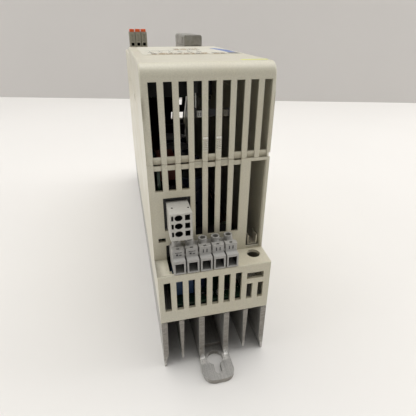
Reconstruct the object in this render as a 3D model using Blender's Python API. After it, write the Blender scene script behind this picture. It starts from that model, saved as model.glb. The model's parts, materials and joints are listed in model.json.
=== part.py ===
"""Servo drive, bookshelf size, lying on its heat sink: +Z points away from the mounting wall.

The origin is at the middle of the footprint, on the mounting wall. The near end (-Y) carries the motor
and brake terminals, the far end (+Y) carries the mains terminals, and the plug-in modules face +Z.
All sizes below are in millimetres. Meshes are scaled to metres when they are turned into objects.
"""

import itertools
import math

import bmesh
import bpy

MM = 0.001
GAP = 0.3                    # clearance between touching pieces

# ---- envelope ------------------------------------------------------------------------------------
WIDTH = 70.5
LENGTH = 375.0               # over both mounting feet
HALF = WIDTH / 2
TOP = 190.0                  # cover above the wall
PANEL_Y = 167.2              # lower end panels
FACE_Y = 150.1               # upper end face at the near end
PANEL_BOTTOM = 40.2
LEDGE = 76.7
SEAM = 139.3                 # joint between base and cover at the near end
SEAM_SIDE = 167.0            # the same joint along the sides
SEAM_RISE = (-127.0, -95.0)  # where the joint climbs from one to the other
WALL = 2.0
TOP_RADIUS = 6.5

# ---- module bay ----------------------------------------------------------------------------------
BAY = (-20.0, 84.0)
BAY_RIM = 182.0
MODULE_EDGES = [-32.4, -16.6, -1.1, 14.3, 32.4]
MODULE_Y = (-17.2, 79.7)
MODULE_Z = (155.0, 181.5)
MODULE_X = [(a + b) / 2 for a, b in zip(MODULE_EDGES, MODULE_EDGES[1:])]
BACKPLANE_Z = (150.0, 151.6)
LED_Y = 2.0                  # first status light
DIAL_Y = 20.0                # first address dial
DIAL_R = 3.2
HOOD_SCREW_Y = (27.5, 52.5)
CABLE_EXIT_Y = 56.6

# ---- vent grids ----------------------------------------------------------------------------------
SLOT_X = -31.51
SLOT_PITCH = 7.53
SLOT_WIDTH = 4.38
PANEL_SLOT_X = -32.0
PANEL_SLOT_PITCH = 7.42
PANEL_SLOT_WIDTH = 4.08

# ---- heat sink -----------------------------------------------------------------------------------
SINK_PLATE = (41.0, 47.0)
SINK_SHIFT = -0.75           # the inner fins and the feet sit a little to the left
FOOT_HALF = 10.4
FOOT_THICK = 3.5
WEB_TOP = 6.0
FOOT_ROOT = 160.5            # the feet are milled thin from here outwards
KEYHOLE_Y = 170.3
KEYHOLE_R = 5.6
KEYHOLE_SLOT = 4.5
KEYHOLE_END = 182.9

# ---- terminals -----------------------------------------------------------------------------------
POLE_PITCH = 8.0
POLE_X = [-21.9 + POLE_PITCH * i for i in range(5)]
POLE_HALF = 3.6
BOSS_Y = 155.2               # screw shafts of the power terminals, from the middle of the drive
BOSS_R = 2.7
BRAKE_X = (-25.9, -13.3)
BRAKE_Z = (98.5, 115.9)
BRAKE_ROWS = [113.1, 108.0, 102.9]
IO_X = -25.1
IO_PITCH = 4.9
IO_DECK = 199.9              # top of the plug on the first module
BUTTON_TOP = 202.1           # top of its levers when they are released
IO_ENTRY_Z = (189.2, 191.6)  # wire entries of the same plug

# ---- electronics inside --------------------------------------------------------------------------
CAPACITOR_Y = [-85.0, -53.0, -21.0, 11.0]
CAPACITOR_R = 14.0
POWER_BOARD_Z = (60.0, 61.6)
FILTER_BOARD_Z = (50.0, 51.6)
CONTROL_BOARD_X = (-29.6, -28.0)
CONTROL_BOARD_Z = (52.0, 134.0)
POWER_BOARD_PEGS = [(x, y) for x in (-24.0, 29.0) for y in (-126.0, 43.0, 131.0)]
FILTER_BOARD_PEGS = [(x, y) for x in (-24.5, 16.5) for y in (-161.0, -134.5)]


# ---- materials -----------------------------------------------------------------------------------
def material(name, colour, roughness=0.5, metallic=0.0):
    """A plain surface finish."""
    found = bpy.data.materials.get(name)
    if found:
        return found
    made = bpy.data.materials.new(name)
    made.use_nodes = True
    shader = made.node_tree.nodes["Principled BSDF"]
    shader.inputs["Base Color"].default_value = (*colour, 1.0)
    shader.inputs["Roughness"].default_value = roughness
    shader.inputs["Metallic"].default_value = metallic
    return made


def housing_plastic():
    return material("housing_plastic", (0.62, 0.60, 0.49), 0.5)


def grey_plastic():
    return material("grey_plastic", (0.36, 0.36, 0.37), 0.45)


def black_plastic():
    return material("black_plastic", (0.03, 0.03, 0.035), 0.5)


def orange_plastic():
    return material("orange_plastic", (0.8, 0.16, 0.03), 0.4)


def board_green():
    return material("board_green", (0.03, 0.13, 0.06), 0.45)


def cast_aluminium():
    return material("cast_aluminium", (0.48, 0.47, 0.46), 0.42, 0.9)


def steel():
    return material("steel", (0.6, 0.6, 0.6), 0.35, 1.0)


def brass():
    return material("brass", (0.7, 0.55, 0.25), 0.35, 1.0)


def copper():
    return material("copper", (0.8, 0.42, 0.25), 0.35, 1.0)


def metallised_plastic():
    return material("metallised_plastic", (0.33, 0.33, 0.33), 0.35, 0.6)


# ---- solids --------------------------------------------------------------------------------------
def place(axis, along, a, b):
    """A point from its height along an axis and its two coordinates across that axis."""
    return {"x": (along, a, b), "y": (a, along, b), "z": (a, b, along)}[axis]


def add_prism(bm, outline, axis, span):
    """Extrudes a closed outline along an axis: (y, z) along x, (x, z) along y, (x, y) along z."""
    rings = [[bm.verts.new(place(axis, at, a, b)) for a, b in outline] for at in span]
    bm.faces.new(rings[0])
    bm.faces.new(list(reversed(rings[1])))
    count = len(outline)
    for i in range(count):
        j = (i + 1) % count
        bm.faces.new((rings[0][j], rings[0][i], rings[1][i], rings[1][j]))


def add_box(bm, x, y, z):
    add_prism(bm, [(x[0], y[0]), (x[1], y[0]), (x[1], y[1]), (x[0], y[1])], "z", z)


def circle(a, b, radius, segments=24):
    turns = [2 * math.pi * i / segments for i in range(segments)]
    return [(a + radius * math.cos(t), b + radius * math.sin(t)) for t in turns]


def arc(a, b, radius, start, end, segments=6):
    """Points on an arc, angles in degrees."""
    angles = [math.radians(start + (end - start) * i / segments) for i in range(segments + 1)]
    return [(a + radius * math.cos(t), b + radius * math.sin(t)) for t in angles]


def add_cylinder(bm, a, b, radius, axis, span, segments=24):
    add_prism(bm, circle(a, b, radius, segments), axis, span)


def add_ring(bm, a, b, outer, inner, axis, span, segments=32):
    """A hollow cylinder."""
    loops = []
    for radius, at in ((outer, span[0]), (outer, span[1]), (inner, span[1]), (inner, span[0])):
        loops.append([bm.verts.new(place(axis, at, *p)) for p in circle(a, b, radius, segments)])
    for k in range(4):
        low, high = loops[k], loops[(k + 1) % 4]
        for i in range(segments):
            j = (i + 1) % segments
            bm.faces.new((low[i], low[j], high[j], high[i]))


def make(name, bm, finish=None, smooth=False):
    """Turns a bmesh in millimetres into an object in metres."""
    bmesh.ops.recalc_face_normals(bm, faces=bm.faces[:])
    bmesh.ops.scale(bm, vec=(MM, MM, MM), verts=bm.verts[:])
    mesh = bpy.data.meshes.new(name)
    bm.to_mesh(mesh)
    bm.free()
    if finish:
        mesh.materials.append(finish)
    if smooth:
        mesh.shade_smooth()
        mesh.set_sharp_from_angle(angle=math.radians(35))
    made = bpy.data.objects.new(name, mesh)
    bpy.context.scene.collection.objects.link(made)
    return made


def boolean(target, bm, operation):
    """Cuts or joins a helper shape, which stays in the scene as a hidden wire."""
    helper = make(f"{target.name}_{operation.lower()}", bm)
    helper.hide_render = True
    helper.display_type = "WIRE"
    step = target.modifiers.new(operation.title(), "BOOLEAN")
    step.operation = operation
    step.solver = "EXACT"
    step.object = helper


def cut(target, bm):
    boolean(target, bm, "DIFFERENCE")


def join(target, bm):
    boolean(target, bm, "UNION")


def move_origin(item, x, y, z):
    """Puts an object's origin on its joint axis without moving its shape."""
    for vertex in item.data.vertices:
        vertex.co.x -= x * MM
        vertex.co.y -= y * MM
        vertex.co.z -= z * MM
    item.location = (x * MM, y * MM, z * MM)


def box_part(name, boxes, finish):
    """One node made of separate boxes, each given as its x, y and z spans."""
    bm = bmesh.new()
    for x, y, z in boxes:
        add_box(bm, x, y, z)
    return make(name, bm, finish)


# ---- shared outlines -----------------------------------------------------------------------------
def far_face(z):
    """The far end face leans back towards the module bay."""
    lean = (FACE_Y - BAY[1]) / (BAY_RIM - LEDGE)
    return FACE_Y - (z - LEDGE) * lean


def seam_curve(offset):
    """The joint between base and cover seen from the side, near end first, as (y, z)."""
    start, end = SEAM_RISE
    steps = 8
    points = [(-FACE_Y, SEAM + offset)]
    for i in range(steps + 1):
        t = i / steps
        rise = (1 - math.cos(math.pi * t)) / 2
        points.append((start + (end - start) * t, SEAM + offset + (SEAM_SIDE - SEAM) * rise))
    points.append((far_face(SEAM_SIDE + offset), SEAM_SIDE + offset))
    return points


def widened(span):
    """A span with the usual clearance added at both ends."""
    return (span[0] - GAP, span[1] + GAP)


def slot_span(index):
    start = SLOT_X + SLOT_PITCH * index
    return (start, start + SLOT_WIDTH)


def panel_slot_span(index):
    start = PANEL_SLOT_X + PANEL_SLOT_PITCH * index
    return (start, start + PANEL_SLOT_WIDTH)


# ---- heat sink and housing -----------------------------------------------------------------------
def heat_sink():
    """Six-finned extrusion whose middle channel runs out into the two mounting feet."""
    top = SINK_PLATE[0] + 1.0
    outer = HALF - 0.15
    fins = []
    for side in (-1, 1):
        fins.append([(side * outer, top), (side * outer, 0), (side * (outer - 1.4), 0),
                     (side * (outer - 2.0), 6.5), (side * (outer - 3.3), 11.0),
                     (side * (outer - 3.9), top)])
        middle = SINK_SHIFT + side * 21.4
        fins.append([(middle - 1.7, top), (middle - 0.6, 5.2), (middle + 0.6, 5.2), (middle + 1.7, top)])
        inner, outer_face = SINK_SHIFT + side * 6.5, SINK_SHIFT + side * (FOOT_HALF - 0.2)
        fins.append([(inner, top), (inner, 2.0), (outer_face, 2.0), (outer_face, top)])
    bm = bmesh.new()
    add_box(bm, (-HALF + WALL + GAP, HALF - WALL - GAP), (-PANEL_Y + 2.4, PANEL_Y - 2.4), SINK_PLATE)
    sink = make("heat_sink", bm, cast_aluminium())
    bm = bmesh.new()
    for outline in fins:
        add_prism(bm, outline, "y", (-PANEL_Y, PANEL_Y))
    join(sink, bm)

    bm = bmesh.new()
    reach, corner = LENGTH / 2, 7.0
    left, right = SINK_SHIFT - FOOT_HALF, SINK_SHIFT + FOOT_HALF
    plate = arc(right - corner, reach - corner, corner, 0, 90)
    plate += arc(left + corner, reach - corner, corner, 90, 180)
    plate += arc(left + corner, corner - reach, corner, 180, 270)
    plate += arc(right - corner, corner - reach, corner, 270, 360)
    add_prism(bm, plate, "z", (0, FOOT_THICK))
    join(sink, bm)
    bm = bmesh.new()
    add_box(bm, (SINK_SHIFT - 8, SINK_SHIFT + 8), (-FOOT_ROOT, FOOT_ROOT), (2.5, WEB_TOP))
    join(sink, bm)

    bm = bmesh.new()
    root = 3.5
    for end, side in itertools.product((-1, 1), (-1, 1)):
        y = end * (PANEL_Y + root)
        low = FOOT_THICK - 0.1
        turns = [math.radians(t) for t in range(0, 91, 15)]
        sweep = [(y - end * root * math.sin(t), low + root * (1 - math.cos(t))) for t in turns]
        outline = sweep + [(end * (PANEL_Y - 1), low + root), (end * (PANEL_Y - 1), 1.5), (y, 1.5)]
        x = sorted((SINK_SHIFT + side * 6.7, SINK_SHIFT + side * (FOOT_HALF - 0.4)))
        add_prism(bm, outline, "x", x)
    join(sink, bm)

    bm = bmesh.new()
    clear = (SINK_PLATE[0] - 1.1, SINK_PLATE[0] + 3)
    for side in (-1, 1):
        flank = sorted((side * (HALF - WALL - GAP), side * (HALF + 2)))
        add_box(bm, flank, (-PANEL_Y - 2, PANEL_Y + 2), clear)
    cut(sink, bm)
    bm = bmesh.new()
    for end in (-1, 1):
        add_box(bm, (-HALF, HALF), sorted((end * (PANEL_Y - 2.4), end * (PANEL_Y + 2))), clear)
    cut(sink, bm)

    bm = bmesh.new()
    neck = KEYHOLE_SLOT / 2
    meet = math.degrees(math.asin(neck / KEYHOLE_R))
    for end in (-1, 1):
        flip = [(SINK_SHIFT + a, end * b) for a, b in
                arc(0, KEYHOLE_Y, KEYHOLE_R, 90 + meet, 450 - meet, 20)
                + arc(0, KEYHOLE_END - neck, neck, 0, 180, 8)]
        add_prism(bm, flip, "z", (-1, WEB_TOP + 1))
    cut(sink, bm)
    return sink


def base_housing():
    """The lower shell: ledges at both ends, vent grids, and the cut-outs for the terminals."""
    outline = [(-PANEL_Y, PANEL_BOTTOM), (-PANEL_Y, LEDGE), (-FACE_Y, LEDGE)]
    outline += seam_curve(-GAP)
    outline += [(FACE_Y, LEDGE), (PANEL_Y, LEDGE), (PANEL_Y, PANEL_BOTTOM)]
    bm = bmesh.new()
    add_prism(bm, outline, "x", (-HALF, HALF))
    shell = make("base_housing", bm, housing_plastic())

    high = TOP + 10
    lean = 2.4
    shelf = LEDGE - WALL
    hollow = [(-PANEL_Y + WALL, 30), (-PANEL_Y + WALL, shelf), (-FACE_Y + WALL, shelf),
              (-FACE_Y + WALL, high), (far_face(high) - lean, high), (far_face(shelf) - lean, shelf),
              (PANEL_Y - WALL, shelf), (PANEL_Y - WALL, 30)]
    bm = bmesh.new()
    add_prism(bm, hollow, "x", (-HALF + WALL, HALF - WALL))
    cut(shell, bm)

    bm = bmesh.new()
    face = (-FACE_Y - 1, -FACE_Y + WALL + 1)
    for i in range(3):
        add_box(bm, slot_span(i), face, (123.3, 135.5))
    for i in range(3, 7):
        add_box(bm, slot_span(i), face, (91.4, 135.6))
    for i in (0, 1, 2, 4, 6):
        add_box(bm, slot_span(i), face, (SEAM - 1.0, SEAM + 1.0))
    add_box(bm, (24.0, 33.6), face, (77.9, 137.3))
    add_box(bm, (BRAKE_X[0] - 1.7, BRAKE_X[1] + 1.6), face, (97.1, 118.9))
    add_box(bm, (-31.8, -27.4), face, (89.5, 92.3))
    add_cylinder(bm, 27.3, -156.2, 4.2, "z", (LEDGE - WALL - 1, LEDGE + 1))
    cut(shell, bm)

    bm = bmesh.new()
    for end in (-1, 1):
        panel = sorted((end * (PANEL_Y + 1), end * (PANEL_Y - WALL - 1)))
        for i in range(7):
            add_box(bm, panel_slot_span(i), panel, (49.6, 71.8))
        for x in ((20.1, 23.9), (27.5, 31.1)):
            add_box(bm, x, panel, (49.7, 61.9))
        add_box(bm, (19.9, 30.9), panel, (65.6, 70.3))
    for i in range(9):
        for low, top in ((94.0, 128.0), (136.0, 158.0)):
            leaning = [(far_face(low) - 5, low), (far_face(low) + 3, low),
                       (far_face(top) + 3, top), (far_face(top) - 5, top)]
            add_prism(bm, leaning, "x", slot_span(i))
    cut(shell, bm)

    bm = bmesh.new()
    pocket = (POLE_X[0] - POLE_HALF - 2.0, POLE_X[-1] + POLE_HALF + 0.6)
    for end in (-1, 1):
        depth = sorted((end * (PANEL_Y - 2.2), end * (FACE_Y - 12)))
        add_box(bm, pocket, depth, (LEDGE - WALL - 1, 86.9))
    cut(shell, bm)
    return shell


def top_cover():
    """The upper shell, rounded over the near end and open over the module bay."""
    bend = arc(-FACE_Y + TOP_RADIUS, TOP - TOP_RADIUS, TOP_RADIUS, 180, 90, 8)
    outline = bend + [(BAY[0], TOP), (BAY[0], BAY_RIM), (BAY[1], BAY_RIM)]
    outline += list(reversed(seam_curve(0)))
    bm = bmesh.new()
    add_prism(bm, outline, "x", (-HALF, HALF))
    shell = make("top_cover", bm, housing_plastic(), smooth=True)

    inner = arc(-FACE_Y + TOP_RADIUS, TOP - TOP_RADIUS, TOP_RADIUS - WALL, 180, 90, 8)
    low, roof, lean = 130.0, BAY_RIM - WALL, 2.4
    hollow = [(-FACE_Y + WALL, low)] + inner
    hollow += [(BAY[0] - WALL, TOP - WALL), (BAY[0] - WALL, roof), (far_face(roof) - lean, roof),
               (far_face(low) - lean, low)]
    bm = bmesh.new()
    add_prism(bm, hollow, "x", (-HALF + WALL, HALF - WALL))
    cut(shell, bm)

    bm = bmesh.new()
    face = (-FACE_Y - 1, -FACE_Y + WALL + 1)
    for i in range(9):
        bottom = 140.2 if i in (3, 5) else 143.3
        add_box(bm, slot_span(i), face, (bottom, 181.6))
    mouth = MODULE_EDGES[-1] + GAP
    mouth_y = (MODULE_Y[0] - GAP, MODULE_Y[1] + GAP)
    add_box(bm, (-mouth, mouth), mouth_y, (BAY_RIM - WALL - 2, BAY_RIM + 1))
    cut(shell, bm)
    return shell


# ---- boards and power parts ----------------------------------------------------------------------
def boards():
    """Circuit boards, and the moulded pieces that hold them."""
    box_part("power_board", [((-27.2, 32.5), (-131.0, 136.0), POWER_BOARD_Z)], board_green())
    box_part("filter_board", [((-27.2, 19.5), (-164.4, -132.0), FILTER_BOARD_Z)], board_green())
    box_part("control_board", [(CONTROL_BOARD_X, (-146.0, 92.0), CONTROL_BOARD_Z)], board_green())
    box_part("backplane_board", [((-32.4, 32.4), (-16.0, 80.0), BACKPLANE_Z)], board_green())

    base = SINK_PLATE[1] + GAP
    frame = (base, base + 2.0)
    carrier = box_part("board_carrier", [((-27.2, -21.5), (-164.4, 136.0), frame)], black_plastic())
    bm = bmesh.new()
    add_box(bm, (26.5, 32.2), (-137.0, 136.0), frame)
    join(carrier, bm)
    bm = bmesh.new()
    for y in ((-164.4, -157.0), (-138.0, -131.0), (39.0, 47.0), (126.0, 136.0)):
        right = 20.0 if y[1] < -150 else 27.0
        add_box(bm, (-22.0, right), y, frame)
    join(carrier, bm)
    bm = bmesh.new()
    for pegs, top in ((POWER_BOARD_PEGS, POWER_BOARD_Z[0]), (FILTER_BOARD_PEGS, FILTER_BOARD_Z[0])):
        for x, y in pegs:
            add_cylinder(bm, x, y, 2.5, "z", (base + 1.0, top - GAP), 16)
    join(carrier, bm)

    left, right = CONTROL_BOARD_X
    bottom = CONTROL_BOARD_Z[0]
    outside = -HALF + WALL + GAP
    channel = [(outside, bottom - 2.0), (right + 1.5, bottom - 2.0), (right + 1.5, bottom + 3.0),
               (right + GAP, bottom + 3.0), (right + GAP, bottom - GAP), (left - GAP, bottom - GAP),
               (left - GAP, bottom + 3.0), (outside, bottom + 3.0)]
    bm = bmesh.new()
    add_prism(bm, channel, "y", (-130.0, 90.0))
    make("control_board_rail", bm, black_plastic())

    rail_z = (BACKPLANE_Z[0] - 3.4, BACKPLANE_Z[0] - GAP)
    for side, word in ((-1, "left"), (1, "right")):
        x = sorted((side * (HALF - WALL - GAP), side * 30.6))
        box_part(f"backplane_rail_{word}", [(x, (-16.0, 80.0), rail_z)], black_plastic())


def add_turned(bm, x, y, profile, segments=24):
    """A solid of revolution about a vertical axis, from (radius, z) points; both ends lie on the axis."""
    bottom = bm.verts.new((x, y, profile[0][1]))
    top = bm.verts.new((x, y, profile[-1][1]))
    loops = [[bm.verts.new((a, b, z)) for a, b in circle(x, y, r, segments)] for r, z in profile[1:-1]]
    for i in range(segments):
        j = (i + 1) % segments
        bm.faces.new((bottom, loops[0][j], loops[0][i]))
        bm.faces.new((top, loops[-1][i], loops[-1][j]))
        for low, high in zip(loops, loops[1:]):
            bm.faces.new((low[i], low[j], high[j], high[i]))


def turned_part(name, x, y, profile, finish, segments=24):
    bm = bmesh.new()
    add_turned(bm, x, y, profile, segments)
    return make(name, bm, finish, smooth=True)


def power_parts():
    """What stands on the power board, on the filter board and on the heat sink."""
    floor = POWER_BOARD_Z[1] + GAP
    can = floor + 45.0
    sleeve = material("capacitor_sleeve", (0.03, 0.05, 0.12), 0.35)
    for i, y in enumerate(CAPACITOR_Y):
        profile = [(0, floor), (CAPACITOR_R, floor), (CAPACITOR_R, can - 1), (CAPACITOR_R - 1, can),
                   (0, can)]
        turned_part(f"dc_link_capacitor_{i + 1}", 0.0, y, profile, sleeve)

    sink = (SINK_PLATE[1] + GAP, POWER_BOARD_Z[0] - GAP)
    box_part("igbt_module", [((-20, 20), (-30, 30), sink)], black_plastic())
    box_part("rectifier_bridge", [((-16, 16), (54, 86), sink)], black_plastic())

    bm = bmesh.new()
    add_ring(bm, 2.0, 106.0, 18.0, 9.0, "z", (floor, floor + 16.0), 32)
    make("filter_choke", bm, material("lacquered_copper", (0.45, 0.16, 0.07), 0.35, 0.5), smooth=True)
    for x, word in ((20.6, "plus"), (23.6, "minus")):
        box_part(f"busbar_{word}", [((x, x + 1.0), (-110, 84), (floor, floor + 14.0))], copper())

    base = FILTER_BOARD_Z[1] + GAP
    box_part("line_filter_choke", [((-25.2, -12.2), (-157, -143), (base, 68))],
             material("blue_moulding", (0.03, 0.08, 0.2), 0.4))
    box_part("suppression_capacitor", [((CONTROL_BOARD_X[1] + GAP, -17.0), (-130, -117), (121, 137))],
             material("red_brown_case", (0.22, 0.05, 0.03), 0.45))


# ---- plug-in modules -----------------------------------------------------------------------------
def module_slots():
    """Four carriers side by side in the bay, each with a board whose tongue sits in a backplane socket."""
    tongue = (20.0, 50.0)
    windows = {0: [((-31.9, -18.3), (10.7, 25.3))],
               1: [],
               2: [],
               3: [((17.9, 27.8), (23.9, 56.1))]}
    notch = {0: (8.0, 28.0, 169.6), 3: (21.0, 59.0, 165.6)}
    for i, x in enumerate(MODULE_X):
        (y0, y1), (low, high) = MODULE_Y, MODULE_Z
        plate = high - 3.0
        leg = 5.0
        outline = [(y0, low), (y0, high), (y1, high), (y1, low), (y1 - leg, low), (y1 - leg, plate),
                   (y0 + leg, plate), (y0 + leg, low)]
        bm = bmesh.new()
        add_prism(bm, outline, "x", (MODULE_EDGES[i] + GAP / 2, MODULE_EDGES[i + 1] - GAP / 2))
        carrier = make(f"module_carrier_{i + 1}", bm, housing_plastic())
        bm = bmesh.new()
        for wx, wy in windows[i]:
            add_box(bm, wx, wy, (plate - 1, high + 1))
        if i == 1:
            for k in range(5):
                add_cylinder(bm, x, LED_Y + 6.0 * k, 1.4, "z", (plate - 1, high + 1), 12)
        if i == 2:
            for k in range(2):
                add_cylinder(bm, x, DIAL_Y + 14.0 * k, DIAL_R + GAP, "z", (plate - 1, high + 1), 24)
        if bm.verts:
            cut(carrier, bm)
        else:
            bm.free()
        b0, b1, top = y0 + leg + GAP, y1 - leg - GAP, plate - GAP
        edge = [(b0, 157.0), (tongue[0], 157.0), (tongue[0], 152.6), (tongue[1], 152.6),
                (tongue[1], 157.0), (b1, 157.0), (b1, top)]
        if i in notch:
            n0, n1, depth = notch[i]
            edge += [(n1, top), (n1, depth), (n0, depth), (n0, top)]
        if i == 1:
            near, far = LED_Y - 4, LED_Y + 28
            edge += [(far, top), (far, 175.0), (near, 175.0), (near, top)]
        if i == 2:
            near, far = DIAL_Y - 6, DIAL_Y + 20
            edge += [(far, top), (far, 171.0), (near, 171.0), (near, top)]
        edge += [(b0, top)]
        bm = bmesh.new()
        add_prism(bm, edge, "x", (x - 0.8, x + 0.8))
        make(f"module_board_{i + 1}", bm, board_green())

    base = BACKPLANE_Z[1] + GAP
    strip = box_part("backplane_sockets", [((-28.5, 28.5), (30.0, 40.0), (base, base + 1.2))],
                     black_plastic())
    socket_z = (base, 156.6)
    for x in MODULE_X:
        bm = bmesh.new()
        add_box(bm, (x - 3.2, x + 3.2), (tongue[0] - 2, tongue[1] + 2), socket_z)
        join(strip, bm)
    bm = bmesh.new()
    slot_y = (tongue[0] - 0.5, tongue[1] + 0.5)
    for x in MODULE_X:
        add_box(bm, (x - 1.1, x + 1.1), slot_y, (socket_z[0] + 0.4, socket_z[1] + 1))
    cut(strip, bm)


def module_fittings():
    """Status lights on the second module and address dials on the third."""
    x = MODULE_X[1]
    bm = bmesh.new()
    for k in range(5):
        add_cylinder(bm, x, LED_Y + 6.0 * k, 1.1, "z", (176.0, MODULE_Z[1] + 0.2), 12)
    lights = make("status_lights", bm, material("light_pipe", (0.55, 0.7, 0.5), 0.2), smooth=True)
    bm = bmesh.new()
    add_box(bm, (x - 2.0, x + 2.0), (LED_Y - 3.0, LED_Y + 27.0), (175.3, 177.0))
    join(lights, bm)

    x = MODULE_X[2]
    box_part("dial_block", [((x - 4.6, x + 4.6), (DIAL_Y - 4.6, DIAL_Y + 18.6), (171.3, 175.6))],
             black_plastic())
    for k in range(2):
        y = DIAL_Y + 14.0 * k
        bm = bmesh.new()
        base, top = 175.9, MODULE_Z[1] + 0.3
        profile = [(0, base), (DIAL_R, base), (DIAL_R, top - 0.4), (DIAL_R - 0.4, top), (0, top)]
        add_turned(bm, x, y, profile, 24)
        dial = make(f"address_dial_{k + 1}", bm, orange_plastic(), smooth=True)
        bm = bmesh.new()
        add_box(bm, (x - 0.5, x + 0.5), (y - 2.4, y + 2.4), (top - 1.2, top + 1))
        cut(dial, bm)
        move_origin(dial, x, y, top)


def io_terminal():
    """Three-pole spring-clamp plug on the first module, one release button for each pole."""
    x0, x1 = IO_X - 7.35, IO_X + 7.35
    y0, y1 = 10.0, 26.0
    deck = IO_DECK
    header = box_part("io_header", [((-31.8, -18.4), (11.0, 25.0), (170.0, 178.2))], black_plastic())
    nose = ((x0 + 1.4, x1 - 1.4), (12.6, 23.4))
    bm = bmesh.new()
    add_box(bm, *(widened(span) for span in nose), (171.2, 180))
    cut(header, bm)

    bm = bmesh.new()
    add_box(bm, (x0, x1), (y0, y1), (182.0, deck))
    plug = make("io_plug_body", bm, grey_plastic())
    bm = bmesh.new()
    add_box(bm, *nose, (171.6, 183.0))
    join(plug, bm)
    bm = bmesh.new()
    for k in (-0.5, 0.5):
        x = IO_X + k * IO_PITCH
        add_box(bm, (x - 0.35, x + 0.35), (y0 - 1, y0 + 0.7), (183.0, deck + 1))
    for k in (-1, 0, 1):
        x = IO_X + k * IO_PITCH
        add_box(bm, (x - 2.2, x + 2.2), (y0 + 1.2, y0 + 12.6), (deck - 5.0, deck + 1))
        add_box(bm, (x - 1.25, x + 1.25), (y0 - 1, y0 + 10.0), IO_ENTRY_Z)
    cut(plug, bm)
    for k in (-1, 0, 1):
        x = IO_X + k * IO_PITCH
        button = box_part(f"release_button_{k + 2}",
                          [((x - 1.9, x + 1.9), (y0 + 1.5, y0 + 12.3), (deck - 3.4, BUTTON_TOP))],
                          orange_plastic())
        move_origin(button, x, y0 + 6.9, BUTTON_TOP)


def bus_connector():
    """Screened connector hood on the fourth module."""
    x = 22.85
    socket = box_part("bus_socket", [((18.2, 27.5), (24.2, 55.8), (166.0, 178.2))], steel())
    nose = ((19.2, 26.5), (31.5, 48.5))
    bm = bmesh.new()
    add_box(bm, *(widened(span) for span in nose), (172.0, 180))
    for screw_y in HOOD_SCREW_Y:
        add_cylinder(bm, x, screw_y, 1.8, "z", (175.0, 180), 16)
    cut(socket, bm)

    low, high = 182.1, 197.6
    bm = bmesh.new()
    edge = 1.2
    left, right = 14.8, 30.9
    outline = [(left, low), (right, low), (right, high - edge), (right - edge, high),
               (left + edge, high), (left, high - edge)]
    add_prism(bm, outline, "y", (10.0, 61.0))
    hood = make("bus_hood", bm, metallised_plastic())
    bm = bmesh.new()
    for screw_y in HOOD_SCREW_Y:
        add_cylinder(bm, x, screw_y, 3.4, "z", (high - 3.5, high + 1), 24)
        add_cylinder(bm, x, screw_y, 1.8, "z", (low - 1, high - 3.5), 16)
    add_cylinder(bm, x, 189.0, 3.9, "y", (CABLE_EXIT_Y, 62.0), 24)
    cut(hood, bm)
    bm = bmesh.new()
    add_box(bm, *nose, (172.6, low - GAP))
    make("bus_plug_shell", bm, steel())
    for i, screw_y in enumerate(HOOD_SCREW_Y):
        bm = bmesh.new()
        profile = [(0, 176.2), (1.4, 176.2), (1.4, high - 3.0), (3.0, high - 3.0),
                   (3.0, high - 0.6), (0, high - 0.6)]
        add_turned(bm, x, screw_y, profile, 20)
        screw = make(f"hood_screw_{i + 1}", bm, steel(), smooth=True)
        bm = bmesh.new()
        add_box(bm, (x - 2.4, x + 2.4), (screw_y - 0.4, screw_y + 0.4), (high - 1.6, high + 1))
        cut(screw, bm)
        move_origin(screw, x, screw_y, high)


# ---- power terminals -----------------------------------------------------------------------------
def power_terminal(name, end, nose_end, header_span):
    """Five-pole screw terminal plug with its header. end is -1 at the near end and +1 at the far end."""
    x0, x1 = POLE_X[0] - POLE_HALF, POLE_X[-1] + POLE_HALF
    outline = [(167.2, 77.0), (167.2, 86.3), (163.1, 86.3), (163.1, 91.5), (159.4, 91.5), (159.4, 88.8),
               (151.0, 88.8), (151.0, 85.8), (nose_end, 85.8), (nose_end, 78.4), (151.0, 78.4),
               (151.0, 77.0)]
    bm = bmesh.new()
    add_prism(bm, [(end * y, z) for y, z in outline], "x", (x0, x1))
    plug = make(f"{name}_plug_body", bm, grey_plastic(), smooth=True)
    bm = bmesh.new()
    for x in POLE_X:
        add_cylinder(bm, x, end * BOSS_Y, BOSS_R, "z", (87.5, 93.3), 24)
    join(plug, bm)
    bm = bmesh.new()
    for x in POLE_X[:-1]:
        at = x + POLE_PITCH / 2
        add_box(bm, (at - 0.4, at + 0.4), sorted((end * 168.2, end * 158.0)), (76.0, 92.5))
    for x in POLE_X:
        add_box(bm, (x - 2.5, x + 2.5), sorted((end * 168.2, end * 152.2)), (78.0, 84.4))
        add_box(bm, (x - 0.8, x + 0.8), sorted((end * 162.2, end * 160.8)), (89.5, 92.5))
    cut(plug, bm)
    bm = bmesh.new()
    for x in POLE_X:
        add_cylinder(bm, x, end * BOSS_Y, 1.7, "z", (84.0, 94.3), 16)
    cut(plug, bm)

    bm = bmesh.new()
    add_box(bm, (x0 - 1.4, x1 + 1.4), sorted(end * y for y in header_span), (76.9, 87.5))
    header = make(f"{name}_header", bm, black_plastic())
    bm = bmesh.new()
    socket = sorted((end * (nose_end - GAP), end * (max(header_span) + 1)))
    add_box(bm, (x0 - GAP, x1 + GAP), socket, (78.1, 86.1))
    cut(header, bm)


def terminal_clamps():
    """One cage with its screw in each pole of the motor plug."""
    for i, x in enumerate(POLE_X):
        cage = ((x - 2.2, x + 2.2), (-158.2, -152.5), (78.3, 84.1))
        clamp = box_part(f"motor_clamp_{i + 1}", [cage], steel())
        bm = bmesh.new()
        add_box(bm, (x - 1.5, x + 1.5), (-159.2, -151.5), (79.2, 82.8))
        cut(clamp, bm)
        bm = bmesh.new()
        add_turned(bm, x, -BOSS_Y, [(0, 83.5), (1.3, 83.5), (1.3, 91.6), (0, 91.6)], 16)
        join(clamp, bm)


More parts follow.
